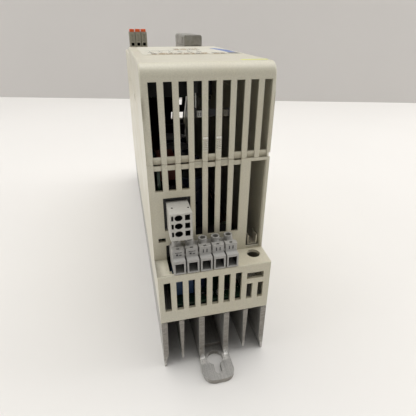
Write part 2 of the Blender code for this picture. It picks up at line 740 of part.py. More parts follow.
def brake_terminal():
    """Three-pole plug in the recess above the motor terminals."""
    (x0, x1), (z0, z1) = BRAKE_X, BRAKE_Z
    bm = bmesh.new()
    add_box(bm, (x0, x1), (-164.0, -148.0), (z0, z1))
    plug = make("brake_plug_body", bm, grey_plastic())
    nose = ((x0 + 1.4, x1 - 1.4), (z0 + 1.4, z1 - 1.4))
    bm = bmesh.new()
    add_box(bm, nose[0], (-149.0, -139.0), nose[1])
    join(plug, bm)
    bm = bmesh.new()
    for z in BRAKE_ROWS:
        add_box(bm, (-25.1, -23.9), (-165.0, -158.0), (z - 1.5, z + 1.5))
        turns = [2 * math.pi * i / 16 for i in range(16)]
        oval = [(-21.1 + 2.25 * math.cos(t), z + 1.85 * math.sin(t)) for t in turns]
        add_prism(bm, oval, "y", (-165.0, -154.0))
        add_box(bm, (-17.5, -14.7), (-165.0, -154.0), (z - 1.7, z + 1.7))
    cut(plug, bm)
    bm = bmesh.new()
    for x, y in ((-23.6, -156.6), (-14.6, -157.6)):
        add_cylinder(bm, x, y, 0.7, "z", (z1 - 2.0, z1 + 1), 10)
    cut(plug, bm)

    bm = bmesh.new()
    add_box(bm, (x0 - 1.4, x1 + 1.3), (-147.8, -132.0), (97.4, 118.4))
    header = make("brake_header", bm, black_plastic())
    bm = bmesh.new()
    add_box(bm, widened(nose[0]), (-148.8, -138.7), widened(nose[1]))
    cut(header, bm)


def earth_terminals():
    """Protective earth screw below the ledge hole, and the screen clip in the tall opening."""
    x, y = 27.3, -156.2
    base = SINK_PLATE[1] + GAP
    bracket = [(-149.5, base), (-149.5, 64.0), (-163.5, 64.0), (-163.5, 62.4), (-151.1, 62.4),
               (-151.1, base)]
    bm = bmesh.new()
    add_prism(bm, bracket, "x", (21.5, 32.0))
    plate = make("earth_bracket", bm, steel())
    bm = bmesh.new()
    add_cylinder(bm, x, y, 2.3, "z", (60, 66), 16)
    cut(plate, bm)
    bm = bmesh.new()
    add_turned(bm, x, y, [(0, 58.0), (2.0, 58.0), (2.0, 64.3), (3.7, 64.3), (3.7, 67.0), (0, 67.0)], 20)
    screw = make("earth_screw", bm, steel(), smooth=True)
    bm = bmesh.new()
    arm, half = 2.6, 0.5
    corners = [(arm, half), (half, half), (half, arm), (-half, arm), (-half, half), (-arm, half),
               (-arm, -half), (-half, -half), (-half, -arm), (half, -arm), (half, -half), (arm, -half)]
    add_prism(bm, [(x + a, y + b) for a, b in corners], "z", (66.0, 68.0))
    cut(screw, bm)

    low = LEDGE + 1.2
    high = low + 7.0
    clip = [(26.0, low), (26.0, high), (26.8, high), (26.8, low + 0.8), (31.8, low + 0.8),
            (31.8, high), (32.6, high), (32.6, low)]
    bm = bmesh.new()
    add_prism(bm, clip, "y", (-147.6, -139.6))
    make("screen_clip", bm, brass())


def clear_scene():
    for item in list(bpy.data.objects):
        bpy.data.objects.remove(item, do_unlink=True)


def main():
    clear_scene()
    heat_sink()
    base_housing()
    top_cover()
    boards()
    power_parts()
    module_slots()
    module_fittings()
    io_terminal()
    bus_connector()
    power_terminal("motor", -1, 141.0, (147.8, 134.0))
    power_terminal("mains", 1, 131.0, (140.0, 126.0))
    terminal_clamps()
    brake_terminal()
    earth_terminals()


main()
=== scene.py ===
"""Looks of the bookshelf servo drive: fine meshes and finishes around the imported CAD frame.

Shapes are written in millimetres in the frame's axes (+Z away from the mounting wall, +Y along the
length, +X across the width) and scaled to metres when they become objects.
"""

import math
import random

import bmesh
import bpy
from mathutils import Euler, Matrix, Vector
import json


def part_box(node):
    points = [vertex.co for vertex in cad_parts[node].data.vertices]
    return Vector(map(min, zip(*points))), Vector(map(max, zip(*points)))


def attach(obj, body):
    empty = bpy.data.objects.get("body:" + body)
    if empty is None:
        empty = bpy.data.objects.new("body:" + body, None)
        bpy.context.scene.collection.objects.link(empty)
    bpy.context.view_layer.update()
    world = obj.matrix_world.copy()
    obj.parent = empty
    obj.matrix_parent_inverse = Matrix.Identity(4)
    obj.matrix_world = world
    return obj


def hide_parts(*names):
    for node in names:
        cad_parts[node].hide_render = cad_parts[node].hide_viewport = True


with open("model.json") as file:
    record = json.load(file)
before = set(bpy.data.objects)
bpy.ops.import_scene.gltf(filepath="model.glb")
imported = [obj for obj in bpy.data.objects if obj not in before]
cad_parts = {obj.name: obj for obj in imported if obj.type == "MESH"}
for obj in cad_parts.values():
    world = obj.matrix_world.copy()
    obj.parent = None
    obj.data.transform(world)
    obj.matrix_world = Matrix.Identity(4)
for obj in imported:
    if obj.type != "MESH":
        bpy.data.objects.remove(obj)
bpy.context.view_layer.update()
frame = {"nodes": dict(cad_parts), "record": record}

MM = 0.001
RECORD = frame["record"]
BODY_OF = {node: body for body, nodes in RECORD["behaviour"]["bodies"].items() for node in nodes}


# ---- meshes ----
def place(axis, along, a, b):
    """A point from its height along an axis and its two coordinates across that axis."""
    return {"x": (along, a, b), "y": (a, along, b), "z": (a, b, along)}[axis]


def add_prism(bm, outline, axis, span, index=0):
    """Extrudes a closed outline along an axis: (y, z) along x, (x, z) along y, (x, y) along z."""
    rings = [[bm.verts.new(place(axis, at, a, b)) for a, b in outline] for at in span]
    faces = [bm.faces.new(rings[0]), bm.faces.new(list(reversed(rings[1])))]
    for i in range(len(outline)):
        j = (i + 1) % len(outline)
        faces.append(bm.faces.new((rings[0][j], rings[0][i], rings[1][i], rings[1][j])))
    for face in faces:
        face.material_index = index
    bmesh.ops.recalc_face_normals(bm, faces=faces)


def add_box(bm, x, y, z, index=0):
    outline = [(x[0], y[0]), (x[1], y[0]), (x[1], y[1]), (x[0], y[1])]
    add_prism(bm, outline, "z", z, index)


def circle(a, b, radius, segments=24):
    turns = [2 * math.pi * i / segments for i in range(segments)]
    return [(a + radius * math.cos(t), b + radius * math.sin(t)) for t in turns]


def arc(a, b, radius, start, end, segments=8):
    """Points on an arc, angles in degrees."""
    angles = [math.radians(start + (end - start) * i / segments) for i in range(segments + 1)]
    return [(a + radius * math.cos(t), b + radius * math.sin(t)) for t in angles]


def rounded(x, y, radius, segments=5):
    """Outline of a rectangle with round corners."""
    points = arc(x[1] - radius, y[1] - radius, radius, 0, 90, segments)
    points += arc(x[0] + radius, y[1] - radius, radius, 90, 180, segments)
    points += arc(x[0] + radius, y[0] + radius, radius, 180, 270, segments)
    points += arc(x[1] - radius, y[0] + radius, radius, 270, 360, segments)
    return points


def add_turned(bm, axis, centre, profile, index=0, segments=24):
    """A solid of revolution about an axis, from (radius, height) points between two points on it."""
    a, b = centre
    loops = []
    for radius, height in profile[1:-1]:
        loops.append([bm.verts.new(place(axis, height, *p)) for p in circle(a, b, radius, segments)])
    ends = [bm.verts.new(place(axis, profile[k][1], a, b)) for k in (0, -1)]
    faces = []
    for i in range(segments):
        j = (i + 1) % segments
        faces.append(bm.faces.new((ends[0], loops[0][j], loops[0][i])))
        faces.append(bm.faces.new((ends[1], loops[-1][i], loops[-1][j])))
        for low, high in zip(loops, loops[1:]):
            faces.append(bm.faces.new((low[i], low[j], high[j], high[i])))
    for face in faces:
        face.material_index = index
    bmesh.ops.recalc_face_normals(bm, faces=faces)


def cad_mesh(node):
    """A CAD node's mesh in millimetres, with its triangles merged back into whole faces."""
    bm = bmesh.new()
    bm.from_mesh(frame["nodes"][node].data)
    bmesh.ops.scale(bm, vec=(1 / MM,) * 3, verts=bm.verts[:])
    bmesh.ops.remove_doubles(bm, verts=bm.verts[:], dist=0.002)
    bmesh.ops.dissolve_limit(bm, angle_limit=math.radians(0.6), verts=bm.verts[:], edges=bm.edges[:])
    for face in bm.faces:
        face.material_index = 0
    return bm


def folded_area(bm):
    """How much a mesh's many-sided faces overlap themselves once they are split into triangles."""
    covered = {}
    for a, b, c in bm.calc_loop_triangles():
        if len(a.face.verts) > 4:
            part = (b.vert.co - a.vert.co).cross(c.vert.co - a.vert.co).length / 2
            covered[a.face] = covered.get(a.face, 0.0) + part
    return sum(abs(area - face.calc_area()) for face, area in covered.items())


def round_edges(bm, width, segments=2, angle=28.0, chosen=None):
    """Bevels every outer edge sharper than an angle, or only those that chosen(edge) picks.

    A width that would make neighbouring bevels run into each other is made smaller.
    """
    limit = math.radians(angle)
    before = bpy.data.meshes.new("before")
    bm.to_mesh(before)
    allowed = folded_area(bm) + 0.5
    for share in (1.0, 0.7, 0.45, 0.25):
        picked = [edge for edge in bm.edges if len(edge.link_faces) == 2 and edge.is_convex
                  and edge.calc_face_angle(0) > limit and (chosen is None or chosen(edge))]
        if not picked:
            break
        bmesh.ops.bevel(bm, geom=picked, offset=width * share, offset_type="OFFSET", segments=segments,
                        profile=0.5, affect="EDGES", clamp_overlap=False, loop_slide=True, material=-1)
        if folded_area(bm) < allowed:
            break
        bm.clear()
        bm.from_mesh(before)
    bpy.data.meshes.remove(before)


def to_object(name, bm, materials, smooth=50.0):
    """Turns a bmesh in millimetres into an object in metres."""
    bmesh.ops.scale(bm, vec=(MM,) * 3, verts=bm.verts[:])
    mesh = bpy.data.meshes.new(name)
    bm.to_mesh(mesh)
    bm.free()
    for each in materials:
        mesh.materials.append(each)
    mesh.shade_smooth()
    mesh.set_sharp_from_angle(angle=math.radians(smooth))
    made = bpy.data.objects.new(name, mesh)
    bpy.context.scene.collection.objects.link(made)
    return made


def evaluated(item):
    """The item's mesh with its modifiers applied."""
    graph = bpy.context.evaluated_depsgraph_get()
    return bpy.data.meshes.new_from_object(item.evaluated_get(graph), preserve_all_data_layers=True,
                                           depsgraph=graph)


def combine(bm, tools, operation):
    """Cuts or joins closed helper shapes, one Boolean each, and returns the result."""
    target = to_object("work", bm, [])
    helpers = []
    for tool in tools:
        helper = to_object("helper", tool, [])
        step = target.modifiers.new("step", "BOOLEAN")
        step.operation = operation
        step.solver = "EXACT"
        step.object = helper
        helpers.append(helper)
    mesh = evaluated(target)
    result = bmesh.new()
    result.from_mesh(mesh)
    for item in [target, *helpers]:
        bpy.data.objects.remove(item)
    bpy.data.meshes.remove(mesh)
    bmesh.ops.scale(result, vec=(1 / MM,) * 3, verts=result.verts[:])
    bmesh.ops.remove_doubles(result, verts=result.verts[:], dist=0.002)
    return result


def bored(centre, profile, radius, segments):
    """An upright turned solid with a round hole all the way through."""
    solid, hole = bmesh.new(), bmesh.new()
    add_turned(solid, "z", centre, profile, segments=segments)
    low, top = profile[0][1] - 1, profile[-1][1] + 1
    add_turned(hole, "z", centre, [(0, low), (radius, low), (radius, top), (0, top)], segments=segments)
    return combine(solid, [hole], "DIFFERENCE")


def settle(item, body):
    """Evens out the shading of a finished piece, and lets it ride on its body."""
    even = item.modifiers.new("even_shading", "WEIGHTED_NORMAL")
    even.keep_sharp = True
    even.weight = 100
    mesh = evaluated(item)
    item.modifiers.clear()
    item.data = mesh
    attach(item, body)


def piece(name, bm, materials, body):
    """An extra piece that the CAD model leaves out."""
    settle(to_object(name, bm, materials), body)


def stand_for(node, bm, materials, smooth=50.0):
    """A fine piece that is shown in place of a CAD node."""
    item = to_object(f"{node}_fine", bm, materials, smooth)
    settle(item, BODY_OF[node])
    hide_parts(node)


def refine(node, materials, width=0.3, segments=2, smooth=50.0):
    """Shows a CAD node's own shape with rounded edges."""
    bm = cad_mesh(node)
    round_edges(bm, width, segments)
    stand_for(node, bm, materials, smooth)


def dress(node, finish):
    """Shows a CAD node as it is, with a better material."""
    for slot in frame["nodes"][node].material_slots:
        slot.material = finish


# ---- finishes ----
class Finish:
    """A procedural material: a Principled shader, and short calls that build the nodes before it."""

    def __init__(self, name, colour, roughness, metallic=0.0):
        self.material = bpy.data.materials.new(name)
        self.material.use_nodes = True
        self.tree = self.material.node_tree
        self.shader = self.tree.nodes["Principled BSDF"]
        self.shader.inputs["Base Color"].default_value = (*colour, 1.0)
        self.shader.inputs["Roughness"].default_value = roughness
        self.shader.inputs["Metallic"].default_value = metallic
        self.place = self.node("ShaderNodeTexCoord").outputs["Object"]
        self.height = None

    def node(self, kind, **settings):
        made = self.tree.nodes.new(kind)
        for key, value in settings.items():
            setattr(made, key, value)
        return made

    def feed(self, socket, value):
        if isinstance(value, bpy.types.NodeSocket):
            self.tree.links.new(value, socket)
        elif isinstance(value, (tuple, list)) and len(value) == 3 and socket.type == "RGBA":
            socket.default_value = (*value, 1.0)
        else:
            socket.default_value = value

    def noise(self, scale, detail=2.0, stretch=None):
        """Noise whose lumps are about 1/scale metres across; stretch scales the axes first."""
        where = self.place
        if stretch:
            mapping = self.node("ShaderNodeMapping")
            mapping.inputs["Scale"].default_value = stretch
            self.feed(mapping.inputs["Vector"], where)
            where = mapping.outputs["Vector"]
        made = self.node("ShaderNodeTexNoise")
        self.feed(made.inputs["Vector"], where)
        made.inputs["Scale"].default_value = scale
        made.inputs["Detail"].default_value = detail
        return made.outputs["Fac"]

    def cells(self, scale, feature="F1", output="Distance"):
        """Irregular cells about 1/scale metres across."""
        made = self.node("ShaderNodeTexVoronoi", feature=feature)
        self.feed(made.inputs["Vector"], self.place)
        made.inputs["Scale"].default_value = scale
        return made.outputs[output]

    def between(self, value, low, high, to_low=0.0, to_high=1.0):
        """Maps a value from low..high to another range, with soft ends."""
        made = self.node("ShaderNodeMapRange", interpolation_type="SMOOTHSTEP")
        for key, number in (("Value", value), ("From Min", low), ("From Max", high),
                            ("To Min", to_low), ("To Max", to_high)):
            self.feed(made.inputs[key], number)
        return made.outputs["Result"]

    def math(self, operation, a, b):
        made = self.node("ShaderNodeMath", operation=operation)
        self.feed(made.inputs[0], a)
        self.feed(made.inputs[1], b)
        return made.outputs["Value"]

    def mix(self, share, a, b, kind="MIX"):
        made = self.node("ShaderNodeMix", data_type="RGBA", blend_type=kind)
        self.feed(made.inputs[0], share)
        self.feed(made.inputs[6], a)
        self.feed(made.inputs[7], b)
        return made.outputs[2]

    def crevice(self, reach):
        """1 deep in corners, 0 on open surface, from an occlusion test: it marks where shade falls."""
        made = self.node("ShaderNodeAmbientOcclusion", only_local=True, samples=6)
        made.inputs["Distance"].default_value = reach
        return self.between(made.outputs["AO"], 0.35, 0.95, 1.0, 0.0)

    def axis(self, name):
        """One coordinate of the frame, in metres."""
        made = self.node("ShaderNodeSeparateXYZ")
        self.feed(made.inputs[0], self.place)
        return made.outputs[name]

    def facing(self, name):
        """One component of the surface's direction."""
        made = self.node("ShaderNodeSeparateXYZ")
        self.feed(made.inputs[0], self.node("ShaderNodeNewGeometry").outputs["Normal"])
        return made.outputs[name]

    def colour(self, value):
        self.feed(self.shader.inputs["Base Color"], value)

    def roughness(self, value):
        self.feed(self.shader.inputs["Roughness"], value)

    def bump(self, height, depth, strength=1.0):
        """Adds relief of a given depth in metres."""
        made = self.node("ShaderNodeBump")
        made.inputs["Strength"].default_value = strength
        made.inputs["Distance"].default_value = depth
        self.feed(made.inputs["Height"], height)
        if self.height:
            self.feed(made.inputs["Normal"], self.height)
        self.height = made.outputs["Normal"]
        self.feed(self.shader.inputs["Normal"], self.height)


def moulded(name, base, roughness=0.5, vary=0.06, dust_and_shade_colour=(0.20, 0.16, 0.09), dust_and_shade_share=0.35, grain=1700.0,
            depth=0.00003):
    """Moulded plastic: fine spark-eroded grain, slow colour drift, and dust with painted shade in the
    corners.
    """
    f = Finish(name, base, roughness)
    darker = tuple(c * (1 - 2 * vary) for c in base)
    colour = f.mix(f.between(f.noise(22.0, 3.0), 0.35, 0.65), base, darker)
    speckle = f.between(f.noise(grain * 0.6, 2.0), 0.3, 0.7, 0.96, 1.04)
    colour = f.mix(1.0, colour, speckle, "MULTIPLY")
    # dust and painted shade: corners found by the occlusion test take the dust colour, in patches
    dust_and_shade = f.math("MULTIPLY", f.crevice(0.004), f.between(f.noise(60.0, 4.0), 0.3, 0.75, 0.2, 1.0))
    colour = f.mix(f.math("MULTIPLY", dust_and_shade, dust_and_shade_share), colour, dust_and_shade_colour)
    f.colour(colour)
    f.roughness(f.between(f.noise(45.0, 3.0), 0.3, 0.7, roughness - 0.06, roughness + 0.08))
    f.bump(f.noise(grain, 3.0), depth)
    f.bump(f.noise(90.0, 2.0), 0.00008, 0.5)
    return f


def housing_plastic(name, base):
    """Warm pale grey plastic with a soft sheen: slightly yellowed, brown dust and painted shade in corners,
    a few flecks.
    """
    f = Finish(name, base, 0.38)
    yellowed = tuple(c * share for c, share in zip(base, (0.98, 0.96, 0.92)))
    colour = f.mix(f.between(f.noise(14.0, 3.0), 0.38, 0.62), base, yellowed)
    colour = f.mix(1.0, colour, f.between(f.noise(1300.0, 2.0), 0.3, 0.7, 0.955, 1.045), "MULTIPLY")
    streaks = f.between(f.noise(70.0, 4.0, stretch=(1.0, 1.0, 0.16)), 0.56, 0.74, 0.0, 0.16)
    colour = f.mix(streaks, colour, (0.42, 0.37, 0.25))
    # brown dust and painted shade in corners and recesses, in patches
    patch = f.between(f.noise(75.0, 4.0), 0.35, 0.75, 0.15, 1.0)
    dust_and_shade = f.math("MULTIPLY", f.crevice(0.006), patch)
    colour = f.mix(f.math("MULTIPLY", dust_and_shade, 0.55), colour, (0.21, 0.155, 0.075))
    fleck = f.between(f.cells(160.0), 0.03, 0.09, 1.0, 0.0)
    sparse = f.between(f.noise(34.0, 2.0), 0.58, 0.64)
    colour = f.mix(f.math("MULTIPLY", f.math("MULTIPLY", fleck, sparse), 0.55), colour, (0.30, 0.20, 0.10))
    f.colour(colour)
    f.roughness(f.between(f.noise(38.0, 4.0), 0.3, 0.7, 0.30, 0.46))
    f.bump(f.noise(1500.0, 3.0), 0.000045)
    f.bump(f.noise(60.0, 2.0), 0.00012, 0.5)
    scuff = f.noise(420.0, 3.0, stretch=(0.12, 1.0, 1.0))
    f.bump(f.between(scuff, 0.62, 0.72), 0.00002, 0.6)
    f.shader.inputs["Coat Weight"].default_value = 0.35
    f.shader.inputs["Coat Roughness"].default_value = 0.28
    return f.material


def heat_sink_metal():
    """Extruded aluminium: fine lines along the extrusion, saw-cut ends, bare milled foot roots with a
    painted highlight, painted shade deep between the fins.
    """
    base = (0.50, 0.49, 0.47)
    f = Finish("heat_sink_metal", base, 0.5, 0.35)
    along = f.noise(900.0, 4.0, stretch=(1.0, 0.03, 1.0))
    cloud = f.between(f.noise(55.0, 4.0), 0.3, 0.7)
    colour = f.mix(cloud, base, (0.39, 0.38, 0.36))
    colour = f.mix(1.0, colour, f.between(along, 0.3, 0.7, 0.84, 1.12), "MULTIPLY")
    end = f.between(f.math("ABSOLUTE", f.facing("Y"), 0.0), 0.6, 0.9)
    saw = f.noise(700.0, 3.0, stretch=(0.25, 1.0, 1.0))
    sawn = f.mix(1.0, (0.315, 0.295, 0.265), f.between(saw, 0.25, 0.75, 0.78, 1.15), "MULTIPLY")
    colour = f.mix(end, colour, sawn)
    # bare milled metal at the foot roots, painted near white as a highlight where the fillets face up into
    # the light
    from_middle = f.math("ABSOLUTE", f.axis("Y"), 0.0)
    cut_start, cut_end, cut_height = (0.1655, 0.1685), (0.1755, 0.1725), (0.0125, 0.0045)
    near_root = f.math("MULTIPLY", f.between(from_middle, *cut_start), f.between(from_middle, *cut_end))
    low = f.between(f.axis("Z"), *cut_height)
    milled_highlight = f.math("MULTIPLY", f.math("MULTIPLY", near_root, low), f.between(f.noise(260.0, 3.0), 0.3, 0.6))
    colour = f.mix(f.math("MULTIPLY", milled_highlight, 0.9), colour, (0.86, 0.84, 0.80))
    pits = f.between(f.noise(500.0, 3.0), 0.66, 0.74, 0.0, 0.45)
    colour = f.mix(pits, colour, (0.14, 0.125, 0.105))
    colour = f.mix(1.0, colour, f.between(f.noise(1500.0, 2.0), 0.3, 0.7, 0.86, 1.12), "MULTIPLY")
    # painted shade: near black deep between the fins and in other corners
    colour = f.mix(f.math("MULTIPLY", f.crevice(0.014), 0.6), colour, (0.085, 0.075, 0.06))
    f.colour(colour)
    f.roughness(f.math("SUBTRACT", f.between(along, 0.3, 0.7, 0.42, 0.6), f.math("MULTIPLY", milled_highlight, 0.2)))
    f.bump(along, 0.00006)
    f.bump(f.noise(1100.0, 3.0), 0.00003)
    return f.material


def metal(name, base, roughness, stain, grain=1200.0, stretch=None, metallic=1.0):
    """Plated or bare metal with fine working marks and a little tarnish."""
    f = Finish(name, base, roughness, metallic)
    marks = f.noise(grain, 3.0, stretch=stretch)
    colour = f.mix(f.between(f.noise(140.0, 4.0), 0.35, 0.7, 0.0, 0.55), base, stain)
    f.colour(f.mix(1.0, colour, f.between(marks, 0.3, 0.7, 0.9, 1.08), "MULTIPLY"))
    f.roughness(f.between(marks, 0.3, 0.7, roughness - 0.08, roughness + 0.12))
    f.bump(marks, 0.00002)
    return f.material


def circuit_board():
    """Solder resist over tracks, with rows of plated holes."""
    f = Finish("circuit_board", (0.02, 0.09, 0.035), 0.35)
    cell = f.cells(170.0, "F1", "Color")
    shade = f.node("ShaderNodeSeparateColor")
    f.feed(shade.inputs[0], cell)
    plane = f.between(shade.outputs[0], 0.35, 0.45)
    tracks = f.between(f.cells(420.0, "DISTANCE_TO_EDGE"), 0.06, 0.16, 1.0, 0.0)
    colour = f.mix(plane, (0.004, 0.019, 0.009), (0.008, 0.034, 0.015))
    colour = f.mix(f.math("MULTIPLY", tracks, 0.5), colour, (0.014, 0.055, 0.025))
    pads = f.between(f.cells(390.0), 0.1, 0.16, 1.0, 0.0)
    some = f.between(shade.outputs[1], 0.72, 0.76)
    pads = f.math("MULTIPLY", pads, some)
    f.colour(f.mix(pads, colour, (0.62, 0.60, 0.52)))
    f.feed(f.shader.inputs["Metallic"], pads)
    f.roughness(f.between(f.noise(80.0), 0.3, 0.7, 0.28, 0.42))
    f.bump(tracks, 0.00004)
    return f.material


def screening_finish():
    """Plastic with a metallised coat, clouded with darker patches, with painted shade in its corners."""
    f = Finish("screening_finish", (0.30, 0.29, 0.27), 0.42, 0.4)
    cloud = f.between(f.noise(120.0, 5.0), 0.4, 0.65)
    colour = f.mix(cloud, (0.33, 0.32, 0.295), (0.24, 0.23, 0.205))
    # painted shade: corners found by the occlusion test turn dark grey
    colour = f.mix(f.math("MULTIPLY", f.crevice(0.003), 0.5), colour, (0.09, 0.085, 0.075))
    f.colour(colour)
    f.roughness(f.between(f.noise(300.0, 3.0), 0.3, 0.7, 0.34, 0.52))
    f.bump(f.noise(900.0, 3.0), 0.00004)
    return f.material


def winding(name, base, pitch):
    """Lacquered wire laid side by side."""
    f = Finish(name, base, 0.3, 0.6)
    turns = f.node("ShaderNodeTexWave", wave_type="BANDS", bands_direction="DIAGONAL")
    f.feed(turns.inputs["Vector"], f.place)
    turns.inputs["Scale"].default_value = pitch
    turns.inputs["Distortion"].default_value = 0.4
    wires = turns.outputs["Fac"]
    # painted shade: the colour darkens in the grooves between turns
    f.colour(f.mix(wires, tuple(c * 0.35 for c in base), base))
    f.roughness(f.between(wires, 0.0, 1.0, 0.5, 0.25))
    f.bump(wires, 0.0004)
    return f.material


def light_pipe():
    """Clear green plastic of the status lights."""
    f = moulded("light_pipe", (0.50, 0.66, 0.45), 0.18, 0.04, (0.1, 0.1, 0.08), 0.2, 700.0, 0.00001)
    f.shader.inputs["Transmission Weight"].default_value = 0.35
    return f.material


def printed(name, base, wear=0.32):
    """A thin printed film or ink layer, a little scuffed."""
    f = Finish(name, base, 0.4)
    worn = f.between(f.noise(700.0, 4.0), 0.58, 0.72, 0.0, wear)
    f.colour(f.mix(worn, base, (0.6, 0.58, 0.5)))
    f.roughness(f.between(f.noise(150.0, 2.0), 0.3, 0.7, 0.32, 0.5))
    f.bump(f.noise(1200.0, 2.0), 0.00001)
    return f.material


HOUSING = housing_plastic("housing_plastic", (0.62, 0.59, 0.475))
# a much paler copy of the housing plastic for the grip ridges: painted highlight where their tops catch the
# light
HOUSING_PAINTED_HIGHLIGHT = housing_plastic("housing_plastic_painted_highlight", (0.86, 0.84, 0.76))
SINK = heat_sink_metal()
GREY = moulded("terminal_grey", (0.43, 0.42, 0.395), 0.46, 0.06, (0.10, 0.085, 0.06), 0.5).material
PALE_GREY = moulded("pale_terminal_grey", (0.56, 0.545, 0.50), 0.42, 0.05, (0.12, 0.11, 0.09), 0.45).material
IO_GREY = moulded("olive_terminal_grey", (0.29, 0.275, 0.22), 0.46, 0.05, (0.08, 0.07, 0.05), 0.5).material
BLACK = moulded("black_plastic", (0.018, 0.018, 0.02), 0.42, 0.04, (0.05, 0.045, 0.035), 0.3).material
ORANGE = moulded("lever_orange", (0.78, 0.115, 0.02), 0.36, 0.05, (0.15, 0.04, 0.01), 0.4).material
BOARD = circuit_board()
STEEL = metal("plated_steel", (0.60, 0.595, 0.58), 0.3, (0.42, 0.39, 0.33))
DULL_STEEL = metal("dull_steel", (0.34, 0.335, 0.32), 0.42, (0.2, 0.18, 0.15))
BRASS = metal("tinned_brass", (0.82, 0.78, 0.66), 0.36, (0.60, 0.52, 0.38), metallic=0.6)
COPPER = metal("varnished_copper", (0.26, 0.12, 0.07), 0.42, (0.12, 0.06, 0.04), stretch=(1.0, 0.05, 1.0))
SOLDER = metal("solder", (0.66, 0.66, 0.64), 0.28, (0.5, 0.49, 0.46))
SCREEN = screening_finish()
SLEEVE = moulded("capacitor_sleeve", (0.022, 0.03, 0.06), 0.3, 0.05, (0.06, 0.05, 0.04), 0.3, 900.0).material
BLUE = moulded("blue_moulding", (0.030, 0.075, 0.175), 0.38, 0.05, (0.05, 0.05, 0.05), 0.3).material
RED = moulded("red_brown_case", (0.13, 0.03, 0.02), 0.4, 0.08, (0.05, 0.02, 0.02), 0.3).material
CERAMIC = moulded("white_connector", (0.82, 0.82, 0.79), 0.35, 0.02, (0.3, 0.28, 0.22), 0.2).material
LIGHTS = light_pipe()
WINDING = winding("choke_winding", (0.52, 0.20, 0.08), 900.0)
FILM = printed("label_film", (0.62, 0.60, 0.51))
INK_BROWN = printed("brown_print", (0.30, 0.19, 0.08))
INK_DARK = printed("dark_print", (0.045, 0.045, 0.05))
INK_BLUE = printed("blue_print", (0.10, 0.17, 0.42))
YELLOW = printed("yellow_film", (0.78, 0.82, 0.22), 0.08)


# ---- places taken from the frame ----
def span(node, axis):
    """A CAD node's lowest and highest coordinate along an axis, in millimetres."""
    low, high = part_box(node)
    k = "xyz".index(axis)
    return low[k] / MM, high[k] / MM


def middle_of(node):
    """The middle of a CAD node across and along the drive."""
    return [sum(span(node, axis)) / 2 for axis in "xy"]


HALF = span("base_housing", "x")[1]
FACE_Y = span("top_cover", "y")[0]
TOP = span("top_cover", "z")[1]
SEAM = span("top_cover", "z")[0]
SLOT_X, SLOT_PITCH, SLOT_WIDTH = -31.51, 7.53, 4.38          # the vent grid of both shells
POLE_X = [sum(span(f"motor_clamp_{i}", "x")) / 2 for i in range(1, 6)]
POLE_PITCH = POLE_X[1] - POLE_X[0]
SCREW_Y = 155.2                                               # terminal screws, from the middle
BAR_BACKS = (FACE_Y + 1.2, FACE_Y + 2.6)                      # what is thinned off the vent bars' backs
LATCH_Y, LATCH_Z = (-70.0, 20.0), (158.6, 162.6)              # snap latches in both side walls
SKIN = 0.9                                                    # depth of shallow recesses in a side wall
FAR_FOOT_Z, FAR_TOP_Y, FAR_TOP_Z = 76.7, 84.0, 182.0          # the far face leans between these
EARTH_X, EARTH_Y = 27.3, -156.2                               # earth screw


def slot_span(index):
    start = SLOT_X + SLOT_PITCH * index
    return (start, start + SLOT_WIDTH)


# ---- housing ----
def latch_pockets(tool):
    """Shallow windows in both side walls where the cover snaps onto the base."""
    for side in (-1, 1):
        across = sorted((side * (HALF - SKIN), side * (HALF + 1)))
        for y in LATCH_Y:
            add_box(tool, across, (y - 5.0, y + 5.0), LATCH_Z)


def close_joint(bm, level, gap):
    """Narrows the joint between the two shells where it crosses the near face."""
    for vertex in bm.verts:
        if abs(vertex.co.z - level) < 0.02 and vertex.co.y < FACE_Y + 20:
            vertex.co.z += gap


def band(slot, low, top):
    """The shallow recess above or below a vent slot, a little wider than the slot."""
    wider, depth = 0.12, 0.75
    x0, x1 = slot_span(slot)
    return (x0 - wider, x1 + wider), (FACE_Y - 1, FACE_Y + depth), (low, top)


def base_shell():
    bm = cad_mesh("base_housing")
    close_joint(bm, SEAM - 0.3, 0.18)
    grooves = bmesh.new()
    slots_top = 134.9
    for k in range(7):
        add_box(grooves, *band(k, slots_top, SEAM + 1))
    thinning = bmesh.new()
    bars_x, bars_z = (-9.6, 18.6), (90.8, 136.2)
    add_box(thinning, bars_x, BAR_BACKS, bars_z)
    pockets = bmesh.new()
    latch_pockets(pockets)
    far_window = bmesh.new()
    window_x, window_z = (24.6, 30.0), (94.4, 127.6)
    add_box(far_window, window_x, (100.0, 160.0), window_z)
    bm = combine(bm, [grooves, thinning, pockets, far_window], "DIFFERENCE")
    corner = HALF - 0.05

    def upright_corner(e):
        a, b = e.verts[0].co, e.verts[1].co
        outside = abs(a.x) > corner and abs(b.x) > corner
        return outside and max(a.z, b.z) < SEAM - 2 and abs(a.y - b.y) < 0.01

    round_edges(bm, 0.7, 3, chosen=upright_corner)
    round_edges(bm, 0.3, 2, angle=40)
    stand_for("base_housing", bm, [HOUSING])

    bm = bmesh.new()
    for side in (-1, 1):
        for y in LATCH_Y:
            x = side * (HALF - SKIN)
            low, top = LATCH_Z
            hook = [(x, low + 0.3), (x + side * 0.75, low + 0.6), (x, top - 0.3)]
            add_prism(bm, hook, "y", (y - 4.2, y + 4.2))
    piece("cover_latches", bm, [HOUSING], "chassis")


